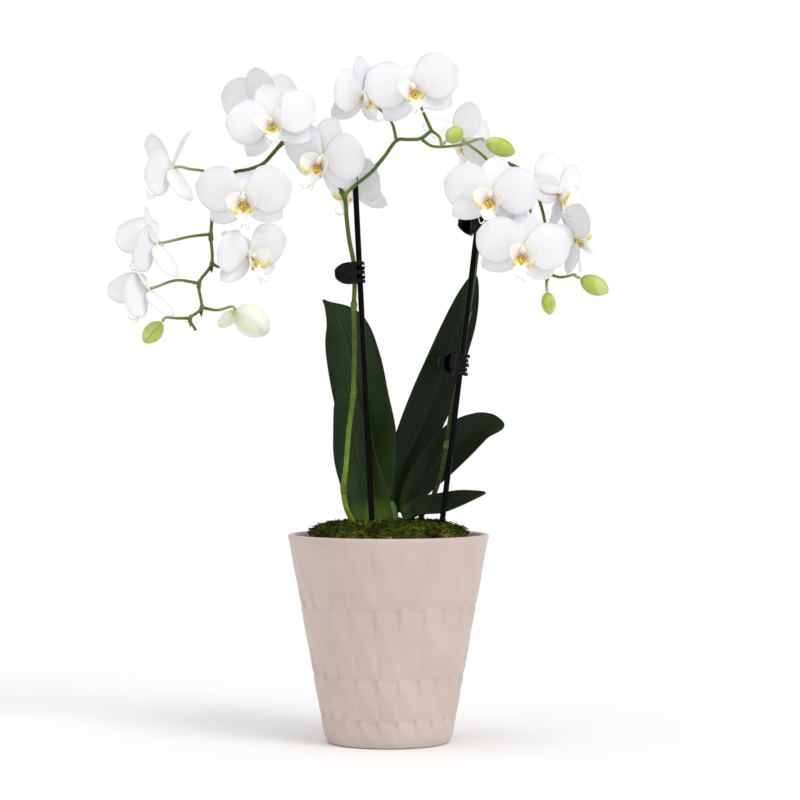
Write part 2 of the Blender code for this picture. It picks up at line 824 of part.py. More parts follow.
def main():
    clear_scene()
    ceramic = finish_of("taupe_ceramic", (0.64, 0.55, 0.50), 0.55)
    liner = finish_of("nursery_plastic", (0.03, 0.03, 0.03), 0.45)
    bark = finish_of("bark", (0.12, 0.06, 0.03), 0.9)
    moss = finish_of("moss", (0.10, 0.14, 0.03), 0.95)
    leaf_green = finish_of("leaf_green", (0.03, 0.07, 0.015), 0.4)
    stem_green = finish_of("stem_green", (0.07, 0.14, 0.02), 0.45)
    black = finish_of("black_plastic", (0.01, 0.01, 0.01), 0.3)
    steel = finish_of("spring_steel", (0.35, 0.35, 0.36), 0.3, 1.0)
    white = finish_of("white_petal", (0.86, 0.86, 0.84), 0.5)
    bud_green = finish_of("bud_green", (0.45, 0.55, 0.12), 0.5)

    crown, crown_hole = make_crown(stem_green)
    stake_holes = [stake.make_hole() for stake in (LEFT_STAKE, RIGHT_STAKE)]
    on_left = (*CASCADE_FLOWERS, *CREST_FLOWERS, *CASCADE_BUDS, *CREST_BUDS)
    on_right = (*RIGHT_FLOWERS, *RIGHT_BUDS)
    left_hole = make_spike("left_spike", LEFT_SPIKE, (CREST_BRANCH,), on_left, stem_green)
    right_hole = make_spike("right_spike", RIGHT_SPIKE, (), on_right, stem_green)
    make_pot(ceramic)
    make_liner(liner)
    make_bark(bark, [crown_hole, *stake_holes])
    make_moss(moss, [crown_hole, *stake_holes, left_hole, right_hole])
    for stake in (LEFT_STAKE, RIGHT_STAKE):
        stake.make(black)
    for clip in CLIPS:
        make_clip(clip, black, steel)
    for leaf in LEAVES:
        leaf.make(leaf_green)
    for flower in (*CASCADE_FLOWERS, *CREST_FLOWERS, *RIGHT_FLOWERS):
        make_flower(flower, white)
    for bud in (*CASCADE_BUDS, *CREST_BUDS, *RIGHT_BUDS):
        bud.make(bud_green)


main()
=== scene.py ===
"""Looks of a potted moth orchid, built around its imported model.

Lengths are in millimetres until a mesh is finished, and heights of the plant are measured from the pot's rim.
"""

import logging
import math
import random
from dataclasses import dataclass
from enum import Enum
from typing import Callable, Sequence, TypeVar

import bmesh
import bpy
from mathutils import Matrix, Vector, noise


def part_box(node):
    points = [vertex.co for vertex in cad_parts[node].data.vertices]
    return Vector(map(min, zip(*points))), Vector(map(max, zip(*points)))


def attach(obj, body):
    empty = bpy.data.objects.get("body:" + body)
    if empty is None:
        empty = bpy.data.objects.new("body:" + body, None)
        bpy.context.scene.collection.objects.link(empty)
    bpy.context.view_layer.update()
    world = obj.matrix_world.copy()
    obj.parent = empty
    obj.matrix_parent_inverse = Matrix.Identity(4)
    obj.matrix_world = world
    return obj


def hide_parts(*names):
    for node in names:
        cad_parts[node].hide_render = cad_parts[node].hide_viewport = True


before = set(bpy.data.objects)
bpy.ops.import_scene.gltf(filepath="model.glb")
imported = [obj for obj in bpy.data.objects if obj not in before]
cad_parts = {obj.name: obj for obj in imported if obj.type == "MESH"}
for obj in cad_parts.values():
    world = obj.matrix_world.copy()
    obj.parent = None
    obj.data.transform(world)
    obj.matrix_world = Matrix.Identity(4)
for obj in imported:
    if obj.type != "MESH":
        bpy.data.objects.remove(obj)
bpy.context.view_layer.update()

Mesh = bmesh.types.BMesh
Material = bpy.types.Material
Tree = bpy.types.NodeTree
Point = tuple[float, float, float]
Five = tuple[float, float, float, float, float]
Value = TypeVar("Value", float, Vector)

MM = 0.001
LOG = logging.getLogger("orchid")

RIM_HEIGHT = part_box("cachepot")[1][2] / MM
RIM_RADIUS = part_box("cachepot")[1][0] / MM

BLACK_STAKE_DIAMETER = 4.3
STEM_DIAMETER = 3.5
BRANCH_DIAMETER = 2.7
PEDICEL_DIAMETER = 2.3
GAP = 0.3
STEM_SAMPLES = 6
FIRST_SEED = 100


# ---- Small helpers ---------------------------------------------------------------------------


def above_rim(x: float, y: float, height: float) -> Vector:
    """A point of the plant in millimetres, with its height measured from the pot's rim."""
    return Vector((x, y, RIM_HEIGHT + height))


def linear(code: str) -> tuple[float, float, float, float]:
    """Turn an sRGB hex colour into linear RGBA.

    Args:
        code: Six hex digits.

    Returns:
        Linear red, green, blue and an alpha of one.
    """
    shares = [int(code[i : i + 2], 16) / 255 for i in (0, 2, 4)]
    red, green, blue = (s / 12.92 if s <= 0.04045 else ((s + 0.055) / 1.055) ** 2.4 for s in shares)
    return red, green, blue, 1.0


def between(before: Value, start: Value, end: Value, after: Value, t: float) -> Value:
    """The Catmull-Rom value a share t of the way from start to end, with their neighbours given."""
    cubic = 3 * start - before - 3 * end + after
    square = 2 * before - 5 * start + 4 * end - after
    return 0.5 * (2 * start + (end - before) * t + square * t**2 + cubic * t**3)


def blend_at(values: Sequence[float], share: float) -> float:
    """Read a smooth curve through equally spaced values.

    Args:
        values: The values from start to end.
        share: Where to read, from 0 to 1.

    Returns:
        The value there.
    """
    place = min(max(share, 0.0), 1.0) * (len(values) - 1)
    i = min(int(place), len(values) - 2)
    neighbours = values[max(i - 1, 0)], values[i], values[i + 1], values[min(i + 2, len(values) - 1)]
    return between(*neighbours, place - i)


def smooth_route(points: Sequence[Vector], per_span: int = STEM_SAMPLES) -> list[Vector]:
    """Sample a smooth curve through points.

    Args:
        points: The points that the curve passes through.
        per_span: Samples between each pair.

    Returns:
        The sampled points, both ends included.
    """
    padded = [2 * points[0] - points[1], *points, 2 * points[-1] - points[-2]]
    spans = zip(padded, padded[1:], padded[2:], padded[3:])
    return [between(*span, step / per_span) for span in spans for step in range(per_span)] + [points[-1].copy()]


def stalk(way: Sequence[Point], back: Vector, straight: Vector) -> list[Vector]:
    """The route of a pedicel.

    Args:
        way: Where it leaves the spike and passes, heights from the rim.
        back: Where it meets the flower or the bud.
        straight: Its last stretch, which runs straight.

    Returns:
        Sampled points in millimetres.
    """
    points = [*map(Vector, way), back - straight, back]
    return [above_rim(*point) for point in smooth_route(points)]


def heading(azimuth: float, elevation: float) -> Vector:
    """A direction from its azimuth, in degrees from -Y towards +X, and its elevation."""
    a, e = math.radians(azimuth), math.radians(elevation)
    return Vector((math.sin(a) * math.cos(e), -math.cos(a) * math.cos(e), math.sin(e)))


def axes_to(across: Vector, along: Vector, out: Vector, origin: Vector) -> Matrix:
    """A placing matrix from three axes and an origin, all in millimetres."""
    turn = Matrix((across, along, out)).transposed().to_4x4()
    return Matrix.Translation(origin) @ turn


def towards(out: Vector, origin: Vector) -> Matrix:
    """A placing matrix that turns +Z to a direction at an origin."""
    return Matrix.Translation(origin) @ out.to_track_quat("Z", "Y").to_matrix().to_4x4()


def absorb(target: Mesh, source: Mesh, place: Matrix = Matrix.Identity(4), finish: int = 0) -> None:
    """Add a shape to another.

    Args:
        target: The bmesh that grows.
        source: The shape to add, which is freed.
        place: Where it goes.
        finish: Index of its material slot.
    """
    source.transform(place)
    for face in source.faces:
        face.material_index = finish
    spare = bpy.data.meshes.new("spare")
    source.to_mesh(spare)
    source.free()
    target.from_mesh(spare)
    bpy.data.meshes.remove(spare)


def finished(
    bm: Mesh, name: str, finishes: Sequence[Material], thickness: float = 0.0, levels: int = 0
) -> bpy.types.Object:
    """Turn a bmesh in millimetres into a finished piece at the origin.

    Args:
        bm: The shape, which is freed.
        name: The piece's name.
        finishes: Its materials, in slot order.
        thickness: Wall to give an open sheet, in millimetres; zero leaves the shape as it is.
        levels: Subdivision levels.

    Returns:
        The linked object.
    """
    bm.transform(Matrix.Scale(MM, 4))
    bmesh.ops.recalc_face_normals(bm, faces=bm.faces)
    mesh = bpy.data.meshes.new(name)
    bm.to_mesh(mesh)
    bm.free()
    mesh.shade_smooth()
    for finish in finishes:
        mesh.materials.append(finish)
    piece = bpy.data.objects.new(name, mesh)
    bpy.context.scene.collection.objects.link(piece)
    if thickness:
        wall = piece.modifiers.new("wall", "SOLIDIFY")
        wall.thickness = thickness * MM
        wall.offset = 0.0
    if levels:
        rounding = piece.modifiers.new("rounding", "SUBSURF")
        rounding.levels = levels
        rounding.render_levels = levels
    return piece


def install(piece: bpy.types.Object, node: str, body: str = "root") -> None:
    """Put a piece on its body, hide the node that it stands for, and log its face count."""
    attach(piece, body)
    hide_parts(node)
    LOG.info("%s: %d faces", piece.name, len(piece.data.polygons))


# ---- Finishes --------------------------------------------------------------------------------


def add_node(
    tree: Tree, kind: str, inputs: dict[str | int, object] | None = None, **settings: object
) -> bpy.types.Node:
    """Add a shader node.

    Args:
        tree: The tree it joins.
        kind: Blender's type name for it.
        inputs: Its inputs by name or number; a signal is linked and anything else is set.
        settings: Attributes of the node.

    Returns:
        The node.
    """
    node = tree.nodes.new(kind)
    for key, value in settings.items():
        setattr(node, key, value)
    for key, value in (inputs or {}).items():
        if isinstance(value, Signal):
            tree.links.new(value.socket, node.inputs[key])
        else:
            node.inputs[key].default_value = value
    return node


@dataclass(frozen=True)
class Signal:
    """A value or a colour in a finish; each sum or function of it adds one node to its tree."""

    tree: Tree
    socket: bpy.types.NodeSocket

    def step(self, operation: str, other: object = 0.0, turned_round: bool = False) -> "Signal":
        """One step of arithmetic with another signal or a number."""
        first, second = (other, self) if turned_round else (self, other)
        node = add_node(self.tree, "ShaderNodeMath", {0: first, 1: second}, operation=operation)
        return Signal(self.tree, node.outputs[0])

    def __add__(self, other: object) -> "Signal":
        """The sum."""
        return self.step("ADD", other)

    def __sub__(self, other: object) -> "Signal":
        """The difference."""
        return self.step("SUBTRACT", other)

    def __rsub__(self, other: object) -> "Signal":
        """The difference from a number."""
        return self.step("SUBTRACT", other, True)

    def __mul__(self, other: object) -> "Signal":
        """The product."""
        return self.step("MULTIPLY", other)

    def __pow__(self, other: object) -> "Signal":
        """The power."""
        return self.step("POWER", other)

    def __abs__(self) -> "Signal":
        """The distance from zero."""
        return self.step("ABSOLUTE")

    def clamped(self) -> "Signal":
        """The same value, kept from 0 to 1 by the node that makes it."""
        self.socket.node.use_clamp = True
        return self

    def waves(self, rate: float) -> "Signal":
        """A sine wave along the value."""
        return (self * rate).step("SINE")

    def crests(self, rate: float) -> "Signal":
        """The upper halves of a sine wave along the value."""
        return self.waves(rate).step("MAXIMUM", 0.0)

    def ramp(self, *stops: tuple[float, str]) -> "Signal":
        """The colours along the value: positions from 0 to 1 with their sRGB hex codes."""
        node = add_node(self.tree, "ShaderNodeValToRGB", {"Fac": self})
        elements = node.color_ramp.elements
        while len(elements) < len(stops):
            elements.new(0.5)
        for element, (position, code) in zip(elements, stops):
            element.position = position
            element.color = linear(code)
        return Signal(self.tree, node.outputs["Color"])

    def mixed(self, share: object, other: object, way: str = "MIX") -> "Signal":
        """This colour mixed by a share with another signal or an sRGB hex code."""
        colour = linear(other) if isinstance(other, str) else other
        inputs = {0: share, 6: self, 7: colour}
        node = add_node(self.tree, "ShaderNodeMix", inputs, data_type="RGBA", blend_type=way)
        return Signal(self.tree, node.outputs[2])


def speckle(tree: Tree, size: float, detail: float = 2.0) -> Signal:
    """Noise in object space whose blobs are about a size in millimetres."""
    place = Signal(tree, add_node(tree, "ShaderNodeTexCoord").outputs["Object"])
    inputs = {"Vector": place, "Scale": 0.5 / (size * MM), "Detail": detail}
    return Signal(tree, add_node(tree, "ShaderNodeTexNoise", inputs).outputs["Fac"])


def stored(tree: Tree, name: str) -> Signal:
    """A number stored on the piece's own points."""
    return Signal(tree, add_node(tree, "ShaderNodeAttribute", attribute_name=name).outputs["Fac"])


@dataclass(frozen=True)
class Finish:
    """A principled surface whose colour and bump come from patterns with real sizes."""

    name: str
    roughness: float
    specular: float = 0.5
    subsurface: float = 0.0
    coat: float = 0.0
    metallic: float = 0.0
    bump_strength: float = 0.3
    bump_depth: float = 0.1

    def paint(self, tree: Tree) -> tuple[Signal, Signal]:
        """Make the colour and the height pattern; each finish has its own."""
        raise NotImplementedError

    def material(self) -> Material:
        """Build the material."""
        material = bpy.data.materials.new(self.name)
        material.use_nodes = True
        tree = material.node_tree
        shader = tree.nodes["Principled BSDF"]
        colour, height = self.paint(tree)
        tree.links.new(colour.socket, shader.inputs["Base Color"])
        relief = {"Height": height, "Strength": self.bump_strength, "Distance": self.bump_depth * MM}
        tree.links.new(add_node(tree, "ShaderNodeBump", relief).outputs["Normal"], shader.inputs["Normal"])
        constants = {
            "Roughness": self.roughness,
            "Specular IOR Level": self.specular,
            "IOR": 1.45,
            "Metallic": self.metallic,
            "Coat Weight": self.coat,
            "Coat Roughness": 0.25,
            "Subsurface Weight": self.subsurface,
            "Subsurface Radius": (1.0, 0.9, 0.7),
            "Subsurface Scale": 1.5 * MM,
        }
        for key, value in constants.items():
            shader.inputs[key].default_value = value
        return material


@dataclass(frozen=True)
class Mottled(Finish):
    """Two close colours in soft patches over a fine grain.

    Attributes:
        dark: One colour.
        light: The other.
        patch: Width of the patches, in millimetres.
        spread: Where the noise turns from dark to light.
        detail: Fineness of the patches' edges.
        grain: Width of the grain, in millimetres.
        grain_detail: Fineness of the grain.
    """

    dark: str = "ECE6DC"
    light: str = "F6F4EE"
    patch: float = 1.5
    spread: tuple[float, float] = (0.38, 0.6)
    detail: float = 2.0
    grain: float = 1.5
    grain_detail: float = 2.0

    def paint(self, tree: Tree) -> tuple[Signal, Signal]:
        """Patches for the colour, grain for the bump."""
        low, high = self.spread
        colour = speckle(tree, self.patch, self.detail).ramp((low, self.dark), (high, self.light))
        return colour, speckle(tree, self.grain, self.grain_detail)


@dataclass(frozen=True)
class MattGlaze(Mottled):
    """Slip-cast earthenware under a matt glaze: faint mottling under an orange-peel skin."""

    dark: str = "C5B4AB"
    light: str = "CBBBB3"
    patch: float = 18.0
    spread: tuple[float, float] = (0.35, 0.65)
    grain: float = 1.6


@dataclass(frozen=True)
class PlainTissue(Mottled):
    """Small fleshy parts in two close colours, such as a callus, a column or an anther cap."""


@dataclass(frozen=True)
class MouldedPlastic(Mottled):
    """Injection-moulded or extruded plastic: worn patches from handling over a fine satin grain."""

    dark: str = "070707"
    light: str = "0F0F0F"
    patch: float = 6.0
    spread: tuple[float, float] = (0.45, 0.75)
    detail: float = 4.0
    grain: float = 0.4


@dataclass(frozen=True)
class SpringWire(Mottled):
    """Blackened drawn steel wire, brighter where it rubs."""

    dark: str = "3A3A3C"
    light: str = "77777A"
    patch: float = 1.0
    spread: tuple[float, float] = (0.4, 0.62)
    grain: float = 1.0


@dataclass(frozen=True)
class BarkChips(Mottled):
    """Crushed conifer bark: red-brown chips with coarse fibres."""

    dark: str = "2A1A12"
    light: str = "6A4630"
    patch: float = 8.0
    spread: tuple[float, float] = (0.35, 0.6)
    detail: float = 4.0
    grain: float = 1.0
    grain_detail: float = 4.0


@dataclass(frozen=True)
class PetalTissue(Finish):
    """White petal tissue: matt cells that scatter light, with faint veins that fan from the claw."""

    face: str = "F1F1F3"
    # Painted shade for the blade's edges and tip.
    edge_shade: str = "CFCFD8"
    vein: str = "E2E2E8"
    throat: str = "EFF0DC"
    tip: str = "EFF0EF"

    def paint(self, tree: Tree) -> tuple[Signal, Signal]:
        """About thirteen veins across a blade, with cells 0.35 mm wide, and painted shade towards the edges and
        the tip.
        """
        along, across = stored(tree, "along"), stored(tree, "across")
        fan = across + speckle(tree, 7.0) * 0.16
        veins = fan.crests(41.0) ** 6.0 * ((1.0 - along).clamped() * 0.26)
        lengthwise = along.ramp((0.0, self.throat), (0.16, self.face), (0.9, self.face), (1.0, self.tip))
        # Painted shade: darkens the blade towards its edges and its tip.
        edge_shade_mask = abs(across).step("MAXIMUM", along) ** 9.0 * 0.6
        height = speckle(tree, 0.35, 1.0) + veins * -0.5
        return lengthwise.mixed(veins, self.vein).mixed(edge_shade_mask, self.edge_shade), height


class LipPart(Enum):
    """The two kinds of lobe on an orchid's lip."""

    MIDDLE = "middle"
    SIDE = "side"


@dataclass(frozen=True)
class LipTissue(Finish):
    """Waxy lip tissue, golden at the throat, lemon on its shoulders, white at its tip, with red-brown bars."""

    part: LipPart = LipPart.MIDDLE
    white: str = "FAFAF8"
    lemon: str = "EDDC62"
    gold: str = "DDAA3C"
    cream: str = "F6F0BE"
    honey: str = "E6C878"
    blush: str = "F5EDE6"
    bar: str = "7E4452"

    def paint(self, tree: Tree) -> tuple[Signal, Signal]:
        """Colour by place on the lobe, with bars about 1 mm wide near the throat of a side lobe."""
        along, across = stored(tree, "along"), stored(tree, "across")
        place = along + speckle(tree, 3.0) * 0.12
        cells = speckle(tree, 0.4, 1.0)
        if self.part is LipPart.MIDDLE:
            run = place.ramp((0.05, self.gold), (0.17, self.lemon), (0.36, self.cream), (0.48, self.white))
            middle = (1.0 - abs(across) * 2.2).clamped()
            return run.mixed(middle * ((along - 0.4) * 5.0).clamped(), self.white), cells
        run = place.ramp((0.05, self.honey), (0.26, self.blush), (0.5, self.white))
        edge = ((across - 0.5) * 3.0).clamped() * ((0.8 - along) * 5.0).clamped()
        bars = place.crests(46.0) ** 2.0 * ((1.0 - along * 1.5).clamped() * 0.8)
        return run.mixed(edge, self.lemon).mixed(bars, self.bar), cells


@dataclass(frozen=True)
class LeafTissue(Finish):
    """Thick waxy strap leaf: deep green with a paler base, a sunken midrib and fine parallel veins."""

    base: str = "66802A"
    low: str = "31491A"
    blade: str = "1F3212"
    tip: str = "243913"
    # Painted shade: fills the sunken midrib and darkens the margins.
    rib: str = "101C0A"
    # The fine veins' colour, also used as a painted highlight on the shoulders beside the midrib.
    vein: str = "3C5524"
    dull: str = "C4CBC0"

    def paint(self, tree: Tree) -> tuple[Signal, Signal]:
        """Veins 1 mm apart, a painted highlight on the shoulders beside the midrib, and painted shade in its
        groove and along the margins, over patches 14 and 22 mm wide.
        """
        along, across = stored(tree, "along"), stored(tree, "across")
        place = along + speckle(tree, 14.0) * 0.1
        stops = ((0.1, self.base), (0.22, self.low), (0.42, self.blade), (0.85, self.blade), (1.0, self.tip))
        patches = speckle(tree, 22.0).ramp((0.42, self.dull), (0.6, "FFFFFF"))
        toned = place.ramp(*stops).mixed(0.8, patches, "MULTIPLY")
        edge = abs(across)
        # Painted highlight: a paler band on the shoulders beside the sunken midrib.
        painted_shoulder_highlight = (1.0 - edge * 5.0).clamped() * 0.35
        rib = (1.0 - edge * 13.0).clamped()
        # Painted shade darkens the margins and fills the midrib's groove; a painted highlight lies on the
        # shoulders beside it.
        tone_with_painted_light = toned.mixed(edge**5.0 * 0.7, self.rib).mixed(painted_shoulder_highlight, self.vein).mixed(rib, self.rib)
        wave = across.waves(60.0)
        fine = wave.step("MAXIMUM", 0.0) * 0.1
        return tone_with_painted_light.mixed(fine, self.vein), wave * 0.35 + speckle(tree, 0.8)


@dataclass(frozen=True)
class StemTissue(Finish):
    """Living stem: green skin with pale pores, running to a pinkish beige towards a flower."""

    fresh: float = 0.08
    start: str = "7A9A24"
    middle: str = "485C1C"
    end: str = "5F7426"
    streak: str = "C8C8B8"
    pore: str = "B8C48A"

    def paint(self, tree: Tree) -> tuple[Signal, Signal]:
        """Colour along the stem with streaks 5 mm long and pores 0.5 mm wide."""
        run = stored(tree, "along").ramp(
            (self.fresh, self.start), (self.fresh + 0.16, self.middle), (1.0, self.end)
        )
        streaks = speckle(tree, 5.0).ramp((0.35, self.streak), (0.6, "FFFFFF"))
        pores = speckle(tree, 0.5, 0.0).ramp((0.66, "000000"), (0.74, "FFFFFF")) * 0.15
        return run.mixed(0.7, streaks, "MULTIPLY").mixed(pores, self.pore), speckle(tree, 0.7)


@dataclass(frozen=True)
class BudTissue(Finish):
    """Closed bud skin: yellow green with cream blotches, fine veins and greener seams."""

    base: str = "7E9F24"
    side: str = "B2C650"
    tip: str = "86A42E"
    cream: str = "DDE0A0"
    seam: str = "6B8820"
    vein: str = "A9BA5C"

    def paint(self, tree: Tree) -> tuple[Signal, Signal]:
        """Colour along the bud, with veins and three seams that run to the tip and blotches 7 mm wide."""
        along, across = stored(tree, "along"), stored(tree, "across")
        run = along.ramp((0.0, self.base), (0.4, self.side), (0.8, self.side), (1.0, self.tip))
        blotches = speckle(tree, 7.0).ramp((0.45, "000000"), (0.62, "FFFFFF")) * 0.55
        seams = (1.0 - abs(across.waves(1.5 * math.pi)) * 5.0).clamped() * 0.6
        skin = run.mixed(across.crests(40.0) * 0.18, self.vein).mixed(blotches, self.cream)
        return skin.mixed(seams, self.seam), speckle(tree, 0.6)


@dataclass(frozen=True)
class MossFibre(Finish):
    """Dried and living moss: straw, olive and dark brown strands in clumps."""

    dark: str = "120F05"
    olive: str = "262C0C"
    green: str = "444F12"
    straw: str = "7E7C2E"

    def paint(self, tree: Tree) -> tuple[Signal, Signal]:
        """Clumps 9 mm wide, broken up by strands 1.5 mm wide."""
        strand = speckle(tree, 1.5)
        both = speckle(tree, 9.0, 3.0) * 0.6 + strand * 0.4
        return both.ramp((0.36, self.dark), (0.45, self.olive), (0.55, self.green), (0.68, self.straw)), strand


# ---- Mesh building blocks --------------------------------------------------------------------


def point_values(bm: Mesh) -> tuple[object, object]:
    """Add the point values "along" and "across" that the finishes read."""
    return bm.verts.layers.float.new("along"), bm.verts.layers.float.new("across")


@dataclass(frozen=True)
class Blade:
    """A thin lamina along +Y with its face towards +Z: a tepal, a lobe or a bract.

    Attributes:
        length: From base to tip, in millimetres.
        half_width: Half of its greatest width.
        outline: Share of the half width at equal steps from base to tip.
        cup: How far the margins rise over the middle.
        arch: How far the tip rises over the base; negative bends back.
        ripple: Height of the waves along the margin.
        groove: Depth of the middle groove.
        groove_share: Half of the groove's width as a share of the half width.
        bow: How far the margins' ends draw back, as a share of the length.
        round_from: Where along the blade its end starts to round off.
        rows: Faces along the blade.
        columns: Faces across it.
    """

    length: float
    half_width: float
    outline: tuple[float, ...]
    cup: float = 0.0
    arch: float = 0.0
    ripple: float = 0.0
    groove: float = 0.25
    groove_share: float = 0.14
    bow: float = 0.03
    round_from: float = 0.6
    rows: int = 14
    columns: int = 10

    def mesh(self, phase: float = 0.0) -> Mesh:
        """Shape a grid into the blade.

        Args:
            phase: Shifts the margin's waves, so that no two blades match.

        Returns:
            An open sheet with point values "along" and "across".
        """
        bm = bmesh.new()
        bmesh.ops.create_grid(bm, x_segments=self.columns, y_segments=self.rows, size=1.0)
        along_layer, across_layer = point_values(bm)
        for vertex in bm.verts:
            across = vertex.co.x
            along = 0.5 - 0.5 * math.cos(math.pi * (vertex.co.y + 1) / 2)
            past = max(0.0, along - self.round_from) / (1 - self.round_from)
            width = max(0.03, blend_at(self.outline, along) * math.sqrt(max(0.0, 1 - past**2)))
            wave = math.sin(9.0 * along + phase) * abs(across) ** 3 * math.sin(math.pi * along)
            rise = self.cup * across**2 * width + self.arch * along**2 + self.ripple * wave
            rise -= self.groove * math.exp(-((across / self.groove_share) ** 2)) * (1 - along)
            bow = 1.0 - self.bow * across**2 * (1 - width) * along
            vertex.co = (across * self.half_width * width, self.length * along * bow, rise)
            vertex[along_layer] = along
            vertex[across_layer] = across
        return bm


def swept(route: Sequence[Vector], radii: Sequence[float], sides: int = 12) -> Mesh:
    """Sweep a circle along a route.

    Args:
        route: The middle line, in millimetres.
        radii: Radii at equal steps from start to end, read as a smooth curve.
        sides: Points round the bar.

    Returns:
        A closed bar with the point value "along".
    """
    bm = bmesh.new()
    along_layer, across_layer = point_values(bm)
    last = len(route) - 1
    side = (route[1] - route[0]).orthogonal().normalized()
    frames = []
    for i, centre in enumerate(route):
        tangent = (route[min(i + 1, last)] - route[max(i - 1, 0)]).normalized()
        side = (side - tangent * side.dot(tangent)).normalized()
        radius = blend_at(radii, i / last)
        frames.append(axes_to(side * radius, tangent.cross(side) * radius, tangent, centre))
    ring = bmesh.ops.create_circle(bm, cap_ends=True, segments=sides, radius=1.0, matrix=frames[0])["verts"]
    edges = [edge for edge in bm.edges if len(edge.link_faces) == 1]
    for i in range(1, len(frames)):
        grown = bmesh.ops.extrude_edge_only(bm, edges=edges)["geom"]
        ring = [item for item in grown if isinstance(item, bmesh.types.BMVert)]
        edges = [item for item in grown if isinstance(item, bmesh.types.BMEdge) and not item.is_manifold]
        bmesh.ops.transform(bm, matrix=frames[i] @ frames[i - 1].inverted(), verts=ring)
        for vertex in ring:
            vertex[along_layer] = i / last
            vertex[across_layer] = 0.0
    bmesh.ops.holes_fill(bm, edges=edges, sides=sides)
    return bm


def turned(profile: Sequence[tuple[float, float]], steps: int = 24) -> Mesh:
    """Spin a profile about Z.

    Args:
        profile: (radius, height) points; a zero radius closes on the axis.
        steps: Faces round the shape.

    Returns:
        The turned shape with the point value "along" from its first point to its last.
    """
    bm = bmesh.new()
    along_layer, across_layer = point_values(bm)
    points = [bm.verts.new((radius, 0.0, height)) for radius, height in profile]
    for i, point in enumerate(points):
        point[along_layer] = i / (len(points) - 1)
    edges = [bm.edges.new(pair) for pair in zip(points, points[1:])]
    full = {"cent": (0, 0, 0), "axis": (0, 0, 1), "angle": 2 * math.pi, "use_merge": True}
    bmesh.ops.spin(bm, geom=[*points, *edges], steps=steps, **full)
    bmesh.ops.remove_doubles(bm, verts=bm.verts, dist=1e-4)
    for vertex in bm.verts:
        vertex[across_layer] = math.atan2(vertex.co.y, vertex.co.x) / math.pi
    return bm


def squeezed(bm: Mesh, share: Callable[[float, float], float]) -> Mesh:
    """Scale a turned shape's radius by a share that follows from the angle round it and the height."""
    for vertex in bm.verts:
        vertex.co.xy *= share(math.atan2(vertex.co.y, vertex.co.x), vertex.co.z)
    return bm


def ball() -> Mesh:
    """A small unit ball."""
    bm = bmesh.new()
    bmesh.ops.create_uvsphere(bm, u_segments=14, v_segments=10, radius=1.0)
    point_values(bm)
    return bm


# ---- Cachepot --------------------------------------------------------------------------------


